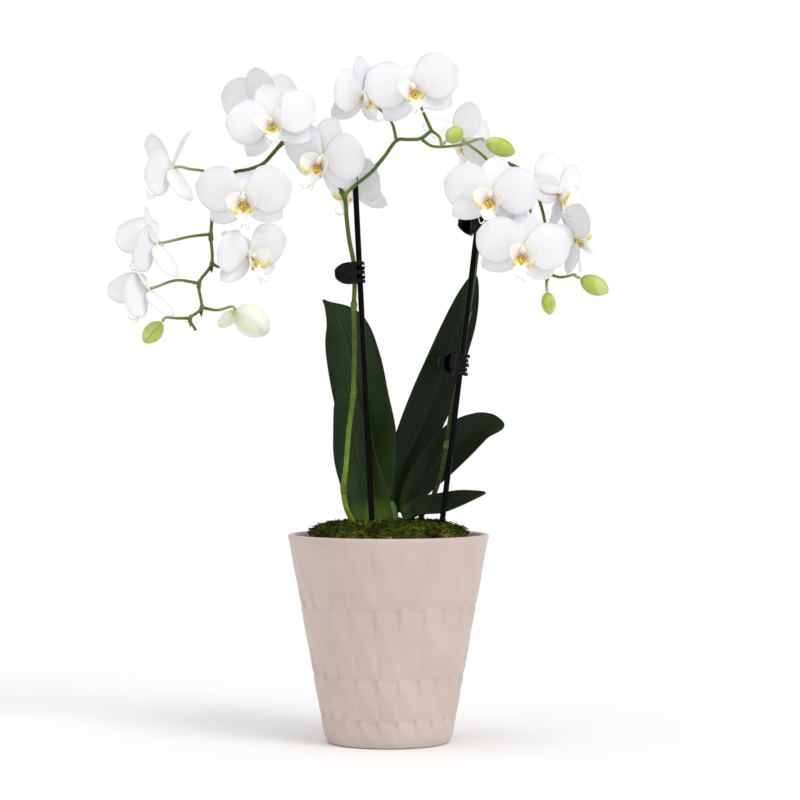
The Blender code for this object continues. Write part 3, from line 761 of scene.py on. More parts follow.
@dataclass(frozen=True)
class Cachepot:
    """The ceramic pot: a cone folded into tiers of twisted facets, under a plain rim band.

    Attributes:
        base_radius: Outer radius where it stands.
        wall: Its thickness.
        floor: Height of its inner floor.
        foot_hollow: How far the middle of its underside is raised.
        band: Height of the plain band under the rim.
        foot_round: Radius of its lower edge.
        lip_round: Half of the height of its rounded rim.
        columns: Facets round the pot.
        tiers: Where the tiers of facets meet, as shares of the faceted height.
        fold: Depth of the diagonal folds.
        chord: How far a facet's middle lies under its sides.
        bulge: How far a tier swells in the middle of its height.
        notch: Depth of the crease between two tiers.
        crease: Half of that crease's width.
        soften: How far the creases are smoothed.
        rows: Rings up the faceted wall.
        steps: Faces round the pot.
    """

    base_radius: float = 47.0
    wall: float = 5.0
    floor: float = 7.0
    foot_hollow: float = 1.2
    band: float = 4.5
    foot_round: float = 4.0
    lip_round: float = 1.8
    columns: int = 22
    tiers: tuple[float, ...] = (0.0, 0.13, 0.34, 0.68, 1.0)
    fold: float = 1.9
    chord: float = 0.25
    bulge: float = 0.5
    notch: float = 0.18
    crease: float = 1.3
    soften: float = 0.3
    rows: int = 96
    steps: int = 352

    def radius(self, height: float) -> float:
        """Outer radius of the plain cone at a height."""
        return self.base_radius + (RIM_RADIUS - self.base_radius) * height / RIM_HEIGHT

    def facet(self, angle: float, height: float) -> float:
        """How far the folded wall stands off the plain cone.

        Args:
            angle: Round the pot, in radians.
            height: Above the surface it stands on.

        Returns:
            The offset in millimetres, within the fold.
        """
        faceted = RIM_HEIGHT - self.band
        share = height / faceted
        if share >= 1.0:
            return 0.0
        tier = max(k for k in range(len(self.tiers) - 1) if share >= self.tiers[k])
        up = (share - self.tiers[tier]) / (self.tiers[tier + 1] - self.tiers[tier])
        turn = angle / (2 * math.pi) * self.columns
        over = turn - math.floor(turn)
        hollow = self.fold * abs(over + up - 1.0)
        ridge = self.chord * (2 * over - 1) ** 2 - self.chord
        fade = min(1.0, 12.0 * (1.0 - share))
        offset = ridge - hollow + self.bulge * math.sin(math.pi * up)
        to_edge = min(up, 1 - up) * (self.tiers[tier + 1] - self.tiers[tier]) * faceted
        return fade * (offset - self.notch * math.exp(-((to_edge / self.crease) ** 2)))

    def profile(self) -> list[tuple[float, float]]:
        """The wall's outline from the middle of the foot, up the outside, over the rim and down inside."""
        flat, edge = self.base_radius - 12.0, self.base_radius - 9.0
        points = [(0.0, self.foot_hollow), (flat, self.foot_hollow), (edge, 0.0)]
        for k in range(5):
            a = math.pi / 2 * k / 4
            reach = self.base_radius - self.foot_round + self.foot_round * math.sin(a)
            points.append((reach, self.foot_round * (1 - math.cos(a))))
        rise = (RIM_HEIGHT - self.band - self.foot_round) / self.rows
        heights = [self.foot_round + rise * (i + 1) for i in range(self.rows)]
        points += [(self.radius(height), height) for height in heights]
        middle, top = RIM_RADIUS - self.wall / 2, RIM_HEIGHT - self.lip_round
        for k in range(9):
            a = math.pi * k / 8
            points.append((middle + self.wall / 2 * math.cos(a), top + self.lip_round * math.sin(a)))
        inner, corner = self.radius(self.floor) - self.wall, 6.0
        return points + [(inner, self.floor + corner), (inner - corner, self.floor), (0.0, self.floor)]

    def build(self, glaze: Material) -> None:
        """Spin the wall, fold its outside and soften the creases."""
        bm = turned(self.profile(), self.steps)
        outside = []
        for vertex in bm.verts:
            x, y, height = vertex.co
            reach = math.hypot(x, y)
            if height < 0.2 or height > RIM_HEIGHT - self.band or reach < self.radius(height) - 1.5:
                continue
            blend = min(1.0, height / (2.5 * self.foot_round))
            offset = self.facet(math.atan2(y, x), height) * blend
            vertex.co.x += x / reach * offset
            vertex.co.y += y / reach * offset
            outside.append(vertex)
        flat = {"use_axis_x": True, "use_axis_y": True, "use_axis_z": False}
        bmesh.ops.smooth_vert(bm, verts=outside, factor=self.soften, **flat)
        install(finished(bm, "cachepot_glazed", [glaze]), "cachepot")


# ---- Planting --------------------------------------------------------------------------------


@dataclass(frozen=True)
class MossBed:
    """The moss over the bark: a lumpy mound with strands and sprigs growing out of it."""

    radius: float = 59.3
    rise: float = 10.5
    strands: int = 3200
    seed: int = 11
    rings: int = 26

    def surface(self, x: float, y: float) -> float:
        """Height of the mound above the rim at a place."""
        reach = min(1.0, math.hypot(x, y) / self.radius)
        lump = noise.noise(Vector((x, y, 0.0)) / 11.0) * 1.6 + noise.noise(Vector((x, y, 4.0)) / 4.5) * 0.9
        return self.rise * (1 - 0.85 * reach**5) - 1.2 + lump * (1 - reach**8)

    def mound(self) -> Mesh:
        """The mound's closed body, reaching down into the nursery pot."""
        profile = [(0.0, -16.5), (self.radius - 2.0, -16.5), (self.radius, -12.0), (self.radius, -4.0)]
        profile += [(self.radius * math.sqrt(1 - i / self.rings), 0.0) for i in range(self.rings)]
        profile.append((0.0, 0.0))
        bm = turned(profile, 96)
        for vertex in bm.verts:
            if vertex.co.z > -1.0:
                vertex.co.z = self.surface(vertex.co.x, vertex.co.y)
            vertex.co.z += RIM_HEIGHT
        return bm

    def strand(self, draw: random.Random) -> Mesh:
        """One curled strand, lying low or standing up, in place."""
        reach = self.radius * math.sqrt(draw.random()) * 0.99
        angle = draw.uniform(0, 2 * math.pi)
        x, y = reach * math.cos(angle), reach * math.sin(angle)
        start = above_rim(x, y, self.surface(x, y) - 1.0)
        heading = draw.uniform(0, 2 * math.pi)
        length = draw.uniform(3.5, 8.0)
        lean = draw.uniform(0.2, 0.95)
        step = Vector((math.cos(heading), math.sin(heading), lean)).normalized() * length / 3
        curl = Matrix.Rotation(draw.uniform(-0.7, 0.7), 3, "Z")
        curl = curl @ Matrix.Rotation(draw.uniform(-0.5, 0.2), 3, "X")
        points = [start]
        for _ in range(3):
            points.append(points[-1] + step)
            step = curl @ step
            step.z -= 0.25 * length / 3
        rim = self.radius + 1.0
        for point in points:
            away = point.xy.length
            if away > rim:
                point.xy *= rim / away
        return swept(points, (draw.uniform(0.4, 0.75), 0.55, 0.2), 4)

    def build(self, fibre: Material) -> None:
        """Make the mound and its strands as one piece."""
        draw = random.Random(self.seed)
        bm = self.mound()
        for _ in range(self.strands):
            absorb(bm, self.strand(draw))
        install(finished(bm, "moss_bed", [fibre]), "moss_layer")


# ---- Stakes and clips ------------------------------------------------------------------------


@dataclass(frozen=True)
class Stake:
    """A straight support through two points measured from the rim."""

    node: str
    foot: Point
    head: Point
    depth: float = 105.0

    def at(self, height: float) -> Vector:
        """The stake's middle at a height above the rim."""
        foot = Vector(self.foot)
        run = Vector(self.head) - foot
        return foot + run * (height - foot.z) / run.z

    def direction(self) -> Vector:
        """Unit vector up the stake."""
        return (Vector(self.head) - Vector(self.foot)).normalized()

    def beside(self, height: float, x: float, y: float) -> Vector:
        """The middle of a stem that lies against the stake on its (x, y) side."""
        reach = (BLACK_STAKE_DIAMETER + STEM_DIAMETER) / 2 + GAP + 0.1
        return self.at(height) + Vector((x, y, 0.0)).normalized() * reach

    def build(self, plastic: Material) -> None:
        """A round bar with a rounded head and a pointed foot."""
        length = self.head[2] + self.depth
        foot = [(0.0, 0.0), (0.3, 0.0), (0.95, 12.0), (1.0, 14.0), (1.0, self.depth)]
        foot.append((1.0, self.depth + self.head[2] / 2))
        drops = ((1.0, 2.0), (0.92, 1.2), (0.7, 0.5), (0.3, 0.0), (0.0, 0.0))
        head = [(share, length - drop) for share, drop in drops]
        bm = turned([(share * BLACK_STAKE_DIAMETER / 2, height) for share, height in foot + head], 20)
        run = self.direction()
        scale = Matrix.Scale(1 / run.z, 4, (0, 0, 1))
        bm.transform(towards(run, above_rim(*self.at(-self.depth))) @ scale)
        install(finished(bm, f"{self.node}_bar", [plastic]), self.node)


LEFT_STAKE = Stake("left_stake", (-12.0, -18.0, 6.0), (-25.0, -8.0, 268.0))
RIGHT_STAKE = Stake("right_stake", (40.0, -14.0, 11.0), (67.0, -10.0, 236.0))


@dataclass(frozen=True)
class ClawClip:
    """A claw clip hinged along a stake, with a jaw in front, one behind and a coil spring between."""

    node: str
    stake: Stake
    height: float
    beside: tuple[float, float]
    yaw: float
    tall: float = 16.0
    plate: float = 1.3
    clearance: float = 0.8
    wire: float = 0.5
    coil: float = 1.9

    def arc_radius(self) -> float:
        """Middle radius of the jaws round the stake and the stem."""
        return (BLACK_STAKE_DIAMETER + STEM_DIAMETER + GAP) / 2 + self.clearance + self.plate / 2

    def hinge_reach(self) -> float:
        """From the hinge to the middle of the jaws' arc."""
        return self.arc_radius() + self.coil + 0.6

    def place(self) -> Matrix:
        """Local X from the hinge to the stems, Y to the back and Z up the stake."""
        up = self.stake.direction()
        middle = (self.stake.at(self.height) + self.stake.beside(self.height, *self.beside)) / 2
        across = Vector((1.0, 0.0, 0.0))
        across = (across - up * across.dot(up)).normalized()
        across = Matrix.Rotation(math.radians(self.yaw), 3, up) @ across
        return axes_to(across, up.cross(across), up, above_rim(*middle) - across * self.hinge_reach())

    def line(self, side: int) -> list[Vector]:
        """The jaw's middle line seen along the hinge, from finger tab to tine tip."""
        reach, middle = self.arc_radius(), self.hinge_reach()
        clear = self.coil + self.plate / 2 + 0.35
        points = [(-8.2, 6.6), (-6.6, 5.9), (-5.0, 4.9), (-2.4, clear + 0.5), (1.2, clear)]
        for angle in (140, 127, 115, 102, 90, 77, 65, 52, 40, 27, 15, 1, -12):
            a = math.radians(angle)
            points.append((middle + reach * math.cos(a), reach * math.sin(a)))
        return [Vector((x, side * y, 0.0)) for x, y in points]

    def jaw(self, side: int, tines: Sequence[tuple[float, float]]) -> Mesh:
        """Fold a cut plate into a jaw.

        Args:
            side: -1 for the front jaw, 1 for the rear one.
            tines: Lower and upper edge of each tine.

        Returns:
            The jaw as an open sheet with tines.
        """
        line = self.line(side)
        spread = [0.30, 0.55, 0.72, 0.92, 1.0] + [1.0] * (len(line) - 5)
        cut_from = 9
        half = self.tall / 2
        levels = sorted({-half, half, *(edge for tine in tines for edge in tine)})
        bm = bmesh.new()
        bmesh.ops.create_grid(bm, x_segments=len(levels) - 1, y_segments=len(line) - 1, size=1.0)
        bm.verts.ensure_lookup_table()
        columns = len(levels)
        cut = []
        for face in bm.faces:
            middle = face.calc_center_median()
            column = int((middle.x + 1) / 2 * (columns - 1))
            row = int((middle.y + 1) / 2 * (len(line) - 1))
            low, high = levels[column], levels[column + 1]
            kept = any(low >= bottom and high <= top for bottom, top in tines)
            if row >= cut_from and not kept:
                cut.append(face)
        bmesh.ops.delete(bm, geom=cut, context="FACES")
        for vertex in bm.verts:
            column = round((vertex.co.x + 1) / 2 * (columns - 1))
            row = round((vertex.co.y + 1) / 2 * (len(line) - 1))
            vertex.co = line[row] + Vector((0.0, 0.0, levels[column] * spread[row]))
        return bm

    def eye(self, side: int, low: float) -> Mesh:
        """A lug round the hinge wire with a web to its jaw's plate."""
        bm = bmesh.new()
        bmesh.ops.create_cone(bm, cap_ends=True, segments=20, radius1=1.6, radius2=1.6, depth=1.2)
        for vertex in bm.verts:
            if vertex.co.y * side > 0.2:
                vertex.co.x = math.copysign(min(1.6, abs(vertex.co.x) * 2), vertex.co.x)
                vertex.co.y = side * min(self.coil + 0.7, abs(vertex.co.y) * 1.7)
        bm.transform(Matrix.Translation((0.0, 0.0, low + 0.6)))
        return bm

    def ribs(self, side: int) -> list[Mesh]:
        """Raised grips across the finger tab, and two along the jaw's back."""
        out = side * self.plate / 2
        grips = [(-7.5, 6.25, 0.34), (-6.4, 5.8, 0.48), (-5.2, 5.0, 0.6)]
        bars = []
        for x, y, share in grips:
            reach = self.tall / 2 * share
            ends = [Vector((x, side * y + out, -reach)), Vector((x, side * y + out, reach))]
            bars.append(swept(ends, (0.65, 0.65), 8))
        back = [point + Vector((0.0, out, 0.0)) for point in self.line(side)[4:10]]
        for level in (-self.tall / 4, self.tall / 4):
            bars.append(swept([point + Vector((0.0, 0.0, level)) for point in back], (0.5, 0.65, 0.5), 8))
        return bars

    def spring(self) -> Mesh:
        """The hinge wire with its coil in the middle."""
        half, turns = self.tall / 2 - 0.6, 6
        coil_half = half - 3.6
        points = [Vector((0.0, 0.0, -half)), Vector((0.0, 0.0, -coil_half - 0.8))]
        steps = turns * 14
        reach = self.coil - self.wire
        for i in range(steps + 1):
            a = 2 * math.pi * turns * i / steps
            points.append(Vector((reach * math.cos(a), reach * math.sin(a), coil_half * (2 * i / steps - 1))))
        points += [Vector((0.0, 0.0, coil_half + 0.8)), Vector((0.0, 0.0, half))]
        return swept(points, (self.wire, self.wire), 8)

    def build(self, plastic: Material, steel: Material) -> None:
        """Make both jaws with their lugs, and the spring."""
        half = self.tall / 2
        outer, inner = half - 2.6, half - 3.2
        rows = (
            ("front", -1, ((-half, -outer), (-1.4, 1.4), (outer, half)), half - 2.0, f"{self.node}_jaw"),
            ("rear", 1, ((-inner, -2.0), (2.0, inner)), half - 3.6, "root"),
        )
        for word, side, tines, lug, body in rows:
            bm = self.jaw(side, tines)
            bm.transform(self.place())
            plate = finished(bm, f"{self.node}_{word}_plate", [plastic], self.plate)
            edges = plate.modifiers.new("soft_edges", "BEVEL")
            edges.width = 0.35 * MM
            edges.segments = 3
            edges.limit_method = "ANGLE"
            edges.angle_limit = math.radians(50)
            node = f"{self.node}_{word}_jaw"
            install(plate, node, body)
            lugs = self.eye(side, lug)
            absorb(lugs, self.eye(side, -lug - 1.2))
            for rib in self.ribs(side):
                absorb(lugs, rib)
            lugs.transform(self.place())
            install(finished(lugs, f"{self.node}_{word}_lugs", [plastic]), node, body)
        bm = self.spring()
        bm.transform(self.place())
        install(finished(bm, f"{self.node}_coil", [steel]), f"{self.node}_spring")


CLIPS = (
    ClawClip("left_clip", LEFT_STAKE, 194.0, (-1.0, -0.3), 0.0),
    ClawClip("middle_clip", RIGHT_STAKE, 126.0, (0.0, 1.0), 40.0),
    ClawClip("upper_clip", RIGHT_STAKE, 229.0, (0.6, 1.0), 50.0),
)


# ---- Leaves ----------------------------------------------------------------------------------


@dataclass(frozen=True)
class StrapLeaf:
    """A thick strap leaf along a curved middle line.

    Attributes:
        node: The frame's node that it stands for.
        spine: Its middle line, heights from the rim.
        widths: Widths at equal steps from base to tip.
        face: The way that its upper side looks.
        old: True for a darker, older leaf.
        wave: Height of the waves along its margins.
        thickness: Of the blade.
        fold: Rise of the margins as a share of the half width.
        rib: Depth of the midrib.
        rib_share: Half of the midrib's width as a share of the half width.
        samples: Points of the middle line in each span.
        rows: Faces along the leaf.
        columns: Faces across it.
    """

    node: str
    spine: tuple[Point, ...]
    widths: tuple[float, ...]
    face: Point
    old: bool = False
    wave: float = 0.0
    thickness: float = 1.5
    fold: float = 0.32
    rib: float = 1.3
    rib_share: float = 0.1
    samples: int = 12
    rows: int = 44
    columns: int = 12

    def mesh(self) -> Mesh:
        """Bend a grid along the middle line, with the margins folded up and a sunken midrib."""
        line = smooth_route([above_rim(*point) for point in self.spine], self.samples)
        last = len(line) - 1
        bm = bmesh.new()
        bmesh.ops.create_grid(bm, x_segments=self.columns, y_segments=self.rows, size=1.0)
        along_layer, across_layer = point_values(bm)
        for vertex in bm.verts:
            across = vertex.co.x
            along = math.sin(math.pi / 2 * (vertex.co.y + 1) / 2)
            place = along * last
            i = min(int(place), last - 1)
            centre = line[i].lerp(line[i + 1], place - i)
            tangent = (line[min(i + 2, last)] - line[max(i - 1, 0)]).normalized()
            side = tangent.cross(Vector(self.face)).normalized()
            front = side.cross(tangent)
            half = self.half_width(along)
            lift = self.fold * half * abs(across) ** 1.4
            lift -= self.rib * math.exp(-((across / self.rib_share) ** 2)) * min(1.0, half / 8.0)
            lift += self.wave * math.sin(7.0 * along + 2.0 * across) * abs(across) ** 2
            vertex.co = centre + side * half * across + front * lift
            vertex[along_layer] = along
            vertex[across_layer] = across
        return bm

    def half_width(self, along: float) -> float:
        """Half of the leaf's width, rounding off at its tip."""
        full = max(0.6, blend_at(self.widths, along) / 2)
        tip = math.sqrt(max(0.0, 1 - max(0.0, (along - 0.9) / 0.1) ** 2))
        return full * (0.15 + 0.85 * tip)

    def build(self, tissue: Material) -> None:
        """Make the leaf."""
        blade = finished(self.mesh(), f"{self.node}_blade", [tissue], self.thickness, 1)
        install(blade, self.node)


LEAVES = (
    StrapLeaf(
        "leaf_tall_left",
        ((-11, 11, 15), (-10, 12, 40), (-14, 14, 70), (-21, 18, 100), (-27, 20, 130),
         (-34, 19, 156), (-49, 15, 175)),
        (18, 28, 40, 42, 41, 32, 4), (0.1, -1.0, 0.1), False, 0.6,
    ),
    StrapLeaf(
        "leaf_front_left",
        ((-10, -7, 7), (-16, -8, 30), (-24, -7.5, 55), (-27, -6, 77), (-30, -5, 96), (-31, -3, 112)),
        (30, 33, 32, 28, 21, 12), (-0.1, -1.0, 0.15),
    ),
    StrapLeaf(
        "leaf_tall_right",
        ((5, 15, 15), (9, 18, 45), (20, 19, 70), (33, 21, 100), (44, 22, 130), (55, 22, 160), (65, 20, 194)),
        (15, 22, 30, 33, 29, 24, 12), (-0.1, -1.0, 0.1), True, 0.5,
    ),
    StrapLeaf(
        "leaf_mid_right",
        ((13, 7, 15), (19, 8, 31), (35, 9, 51), (53, 9, 69), (70, 6, 79), (86, 0, 81)),
        (13, 19, 28, 30, 23, 12), (0.1, -0.95, 0.3), True,
    ),
    StrapLeaf(
        "leaf_low_right",
        ((10, -3, 13), (23, -5, 19.5), (38, -4, 21.5), (54, -5, 26), (72, -8, 31)),
        (14, 16, 18, 14, 4), (0.0, -0.8, 0.6), True,
    ),
    StrapLeaf(
        "leaf_back",
        ((-2, 16, 14), (-8, 30, 34), (-16, 48, 52), (-24, 66, 60), (-30, 82, 56)),
        (14, 22, 27, 22, 10), (0.0, -0.4, 0.9),
    ),
)


@dataclass(frozen=True)
class Crown:
    """The short stem wrapped in the sheaths of the leaves."""

    centre: tuple[float, float] = (1.0, 3.0)
    radius: float = 7.4
    top: float = 24.0
    depth: float = 60.0
    fold: float = 0.1

    def build(self, tissue: Material) -> None:
        """A tapering stem with three sheath folds."""
        profile = [(0.0, -self.depth), (self.radius * 0.6, -self.depth), (self.radius, 20 - self.depth)]
        profile += [(self.radius, -10.0), (self.radius, 4.0), (self.radius * 0.96, 12.0)]
        profile += [(self.radius * 0.7, 21.0), (self.radius * 0.35, 25.0), (0.0, self.top)]

        def folds(angle: float, height: float) -> float:
            """Three folds above the moss."""
            return 1 - self.fold * abs(math.sin(1.5 * angle)) if height > 0 else 1.0

        bm = squeezed(turned(profile, 30), folds)
        bm.transform(Matrix.Translation(above_rim(*self.centre, 0.0)))
        install(finished(bm, "crown_stem", [tissue], levels=1), "crown")


# ---- Flowers ---------------------------------------------------------------------------------


PETAL_LINE = (0.16, 0.56, 0.84, 0.97, 1.0, 1.0, 1.0, 1.0, 1.0)
DORSAL_LINE = (0.42, 0.7, 0.9, 1.0, 1.02, 1.02, 1.0, 1.0, 1.0)
LATERAL_LINE = (0.42, 0.74, 0.93, 1.0, 1.0, 0.98, 0.94, 0.9, 0.88)
MID_LINE = (0.45, 0.52, 0.82, 1.0, 0.9, 0.66, 0.5, 0.42, 0.4)
SIDE_LINE = (0.42, 0.72, 0.93, 1.0, 1.0, 0.97, 0.92, 0.86, 0.8)
PETAL = Blade(34.5, 18.2, PETAL_LINE, cup=-1.8, arch=-2.2, ripple=0.7, round_from=0.42)
DORSAL = Blade(29.5, 11.5, DORSAL_LINE, cup=1.4, arch=-2.5, ripple=0.4, round_from=0.45)
LATERAL = Blade(31.5, 11.3, LATERAL_LINE, cup=1.2, arch=-3.5, ripple=0.5, round_from=0.42)
MID_LOBE = Blade(14.5, 7.8, MID_LINE, cup=2.4, arch=1.6, round_from=0.85, rows=12, columns=8)
SIDE_LOBE = Blade(16.0, 8.6, SIDE_LINE, cup=3.4, arch=2.6, round_from=0.5, rows=10, columns=8)


@dataclass(frozen=True)
class FlowerFinishes:
    """The materials of an open flower."""

    petal: Material
    middle: Material
    side: Material
    callus: Material
    column: Material
    cap: Material


@dataclass(frozen=True)
class OpenFlower:
    """An open moth orchid flower.

    Attributes:
        node: The frame's node that it stands for.
        centre: Where its back meets the pedicel, heights from the rim.
        azimuth: The way it looks, in degrees from -Y towards +X.
        elevation: How far up it looks.
        roll: Turn about its own axis.
        pedicel: Where its pedicel leaves the spike and passes.
        size: Scale of the flower.
        leans: How far its dorsal sepal, right and left lower sepals, and right and left petals lean forward, in
            degrees.
        twists: How far each of the same tepals turns about its own length, in degrees.
    """

    node: str
    centre: Point
    azimuth: float
    elevation: float
    roll: float
    pedicel: tuple[Point, ...]
    size: float = 1.0
    leans: Five = (-4.0, -8.0, -8.0, 5.0, 5.0)
    twists: Five = (0.0, 0.0, 0.0, 0.0, 0.0)

    def turn(self) -> Matrix:
        """Columns right, up and out of the flower."""
        out = heading(self.azimuth, self.elevation)
        right = Vector((0.0, 0.0, 1.0)).cross(out).normalized()
        turn = Matrix((right, out.cross(right), out)).transposed()
        return turn @ Matrix.Rotation(math.radians(self.roll), 3, "Z")

    def place(self) -> Matrix:
        """Where the flower's own millimetres go."""
        scale = Matrix.Scale(self.size, 4)
        return Matrix.Translation(above_rim(*self.centre)) @ self.turn().to_4x4() @ scale

    def pedicel_route(self) -> list[Vector]:
        """The way from the spike to the flower's back."""
        out = self.turn().col[2]
        return stalk(self.pedicel, Vector(self.centre) - out * 1.4, out * 5.0)

    def tepals(self, draw: random.Random) -> Mesh:
        """Three sepals behind and two petals in front."""
        sepals = ((DORSAL, 90.0, -0.7), (LATERAL, -36.0, -0.6), (LATERAL, 216.0, -0.5))
        rows = (*sepals, (PETAL, 12.0, 1.2), (PETAL, 168.0, 1.5))
        bm = bmesh.new()
        for (blade, angle, lift), lean, turn in zip(rows, self.leans, self.twists):
            spin = Matrix.Rotation(math.radians(angle - 90 + draw.uniform(-4, 4)), 4, "Z")
            twist = Matrix.Rotation(math.radians(turn + draw.uniform(-7, 7)), 4, "Y")
            tilt = Matrix.Rotation(math.radians(lean + draw.uniform(-3, 3)), 4, "X")
            out = Matrix.Translation((0.0, 1.4, lift))
            absorb(bm, blade.mesh(draw.uniform(0, 6)), spin @ out @ tilt @ twist)
        return bm

    def lip(self, draw: random.Random) -> Mesh:
        """The middle lobe and the two ears that curl in beside it."""
        bm = bmesh.new()
        down = Vector((0.0, -0.88, 0.47)).normalized()
        across = Vector((-1.0, 0.0, 0.0))
        middle = axes_to(across, down, across.cross(down), Vector((0.0, -7.5, 6.5)))
        absorb(bm, MID_LOBE.mesh(draw.uniform(0, 6)), middle)
        for side in (1, -1):
            along = Vector((0.66, 0.58, 0.47)).normalized()
            inward = Vector((-0.62, 0.25, 0.74))
            inward = (inward - along * inward.dot(along)).normalized()
            ear = axes_to(along.cross(inward), along, inward, Vector((2.4, -9.0, 5.0)))
            absorb(bm, SIDE_LOBE.mesh(draw.uniform(0, 6)), Matrix.Diagonal((side, 1.0, 1.0, 1.0)) @ ear, 1)
        return bm

    def lip_flesh(self) -> Mesh:
        """The claw that carries the lip, its callus, and the two tendrils at its tip."""
        bm = swept([Vector((0, -1, 0)), Vector((0, -4, 2.5)), Vector((0, -8, 6.2))], (1.9, 1.6, 1.9), 12)
        cheek, keel = (1.25, 2.1, 1.5, 1.0), (1.1, 2.6, 0.9, 1.0)
        for place, size in (((-1.3, -8.0, 7.8), cheek), ((1.3, -8.0, 7.8), cheek), ((0, -11, 8.4), keel)):
            absorb(bm, ball(), Matrix.Translation(place) @ Matrix.Diagonal(size))
        for side in (-1, 1):
            tip = Vector((side * 1.0, -19.4, 13.4))
            curl = [tip]
            for k in range(1, 10):
                a = math.radians(26 * k)
                curl.append(tip + Vector((side * 0.5 * k, -3.0 * math.sin(a), 3.2 * (1 - math.cos(a)))))
            absorb(bm, swept(smooth_route(curl, 2), (0.6, 0.48, 0.34, 0.18), 7), finish=1)
        return bm

    def column(self) -> Mesh:
        """The column with its rounded hood and the anther cap at its tip."""
        profile = [(0.0, -0.5), (2.4, -0.4), (2.3, 1.0), (2.0, 3.0), (2.1, 5.0), (2.4, 6.6), (2.2, 7.8)]
        bm = turned([*profile, (1.3, 8.5), (0.0, 8.7)], 20)
        bm.transform(towards(Vector((0.0, -0.2, 1.0)).normalized(), Vector((0.0, 0.2, 0.0))))
        absorb(bm, ball(), Matrix.Translation((0.0, -2.9, 7.8)) @ Matrix.Diagonal((1.5, 1.4, 1.2, 1.0)), 1)
        return bm

    def build(self, finishes: FlowerFinishes, seed: int) -> None:
        """Make the flower's tepals, lip and column."""
        draw = random.Random(seed)
        rows = (
            ("tepals", self.tepals(draw), [finishes.petal], 0.75, 1),
            ("lip", self.lip(draw), [finishes.middle, finishes.side], 0.45, 1),
            ("callus", self.lip_flesh(), [finishes.callus, finishes.column], 0.0, 0),
            ("column", self.column(), [finishes.column, finishes.cap], 0.0, 1),
        )
        for word, bm, materials, wall, levels in rows:
            bm.transform(self.place())
            install(finished(bm, f"{self.node}_{word}", materials, wall, levels), self.node)


def numbered(kind: type, word: str, *rows: tuple) -> tuple:
    """Make flowers or buds that are named in order.

    Args:
        kind: The class.
        word: Their names' first part, before _1, _2 and so on.
        rows: The other fields' values, one row for each.

    Returns:
        One for each row.
    """
    return tuple(kind(f"{word}_{i}", *row) for i, row in enumerate(rows, 1))


CASCADE_FLOWERS = numbered(
    OpenFlower,
    "cascade_flower",
    ((-48, -12, 280), -28, -15, -18, ((-57, 10, 289), (-50, 4, 285))),
    ((-86, -16, 306), -10, 8, 15, ((-78, 4, 293), (-84, 2, 302)), 0.98),
    ((-94, 24, 322), 160, 20, 0, ((-70, 8, 296), (-84, 8, 307)), 1.0, (0, 5, 5, 5, 68)),
    ((-106, -28, 251), -5, -15, 3, ((-116, 4, 269), (-110, -6, 262)), 1.02, (-66, -6, -6, 4, 4)),
    ((-161, -2, 273), -80, -5, -26, ((-124, 2, 262), (-136, 2, 270), (-148, 0, 272)), 1.0,
     (-26, -14, -8, 42, 30), (-12, 48, -20, 0, 0)),
    ((-171, -16, 216), -78, -5, -27, ((-132, -6, 223), (-147, -10, 221)), 1.0,
     (20, -12, -8, 42, 40), (-14, 50, -20, 0, 66)),
    ((-104, -12, 209), 45, -8, 12, ((-131, -12, 201), (-124, -8, 199)), 0.92, (-55, 4, 0, 14, 8)),
    ((-176, -30, 181), -72, -18, -22, ((-140, -16, 186), (-156, -22, 188)), 0.92,
     (20, -8, -8, 54, 40), (-8, 54, -20, 0, 74)),
)
CREST_FLOWERS = numbered(
    OpenFlower,
    "crest_flower",
    ((-20, 4, 329), 48, -5, 6, ((6, -12, 292), (2, -4, 307), (-10, 14, 321)), 0.92),
    ((18, -18, 332), 0, 0, 12, ((32, -7, 300), (26, -1, 314), (21, -6, 325)), 1.0, (-50, -8, -8, 5, 5)),
    ((-26, 19, 264), -50, -20, -10, ((-3, -13, 280), (-8, -2, 276), (-14, 12, 271)), 0.95),
)
RIGHT_FLOWERS = numbered(
    OpenFlower,
    "right_flower",
    ((57, 22, 296), 170, 10, 8, ((80, 9, 273), (70, 12, 284)), 0.95, (0, 72, 10, 5, 66), (24, 0, 20, 72, 0)),
    ((75.8, -31, 251.5), -10, -5, -7, ((74, 6, 264), (76, -8, 261)), 1.0, (-26, -8, 8, 5, 9)),
    ((98, -35, 211), 5, -10, -8, ((108, 10, 262), (106, -2, 242), (101, -20, 222)), 1.0, (-30, -8, -8, 5, 5)),
    ((128, 0, 254), 55, -10, -42, ((113, 10, 250), (118, 8, 255)), 0.95, (4, -10, -14, 14, -18)),
    ((138, -9, 219), 85, 0, -56, ((118.5, 0.5, 216), (128, -7, 219)), 0.8,
     (0, -8, -50, 10, 10), (0, -42, 0, 0, 42)),
)


# ---- Buds ------------------------------------------------------------------------------------


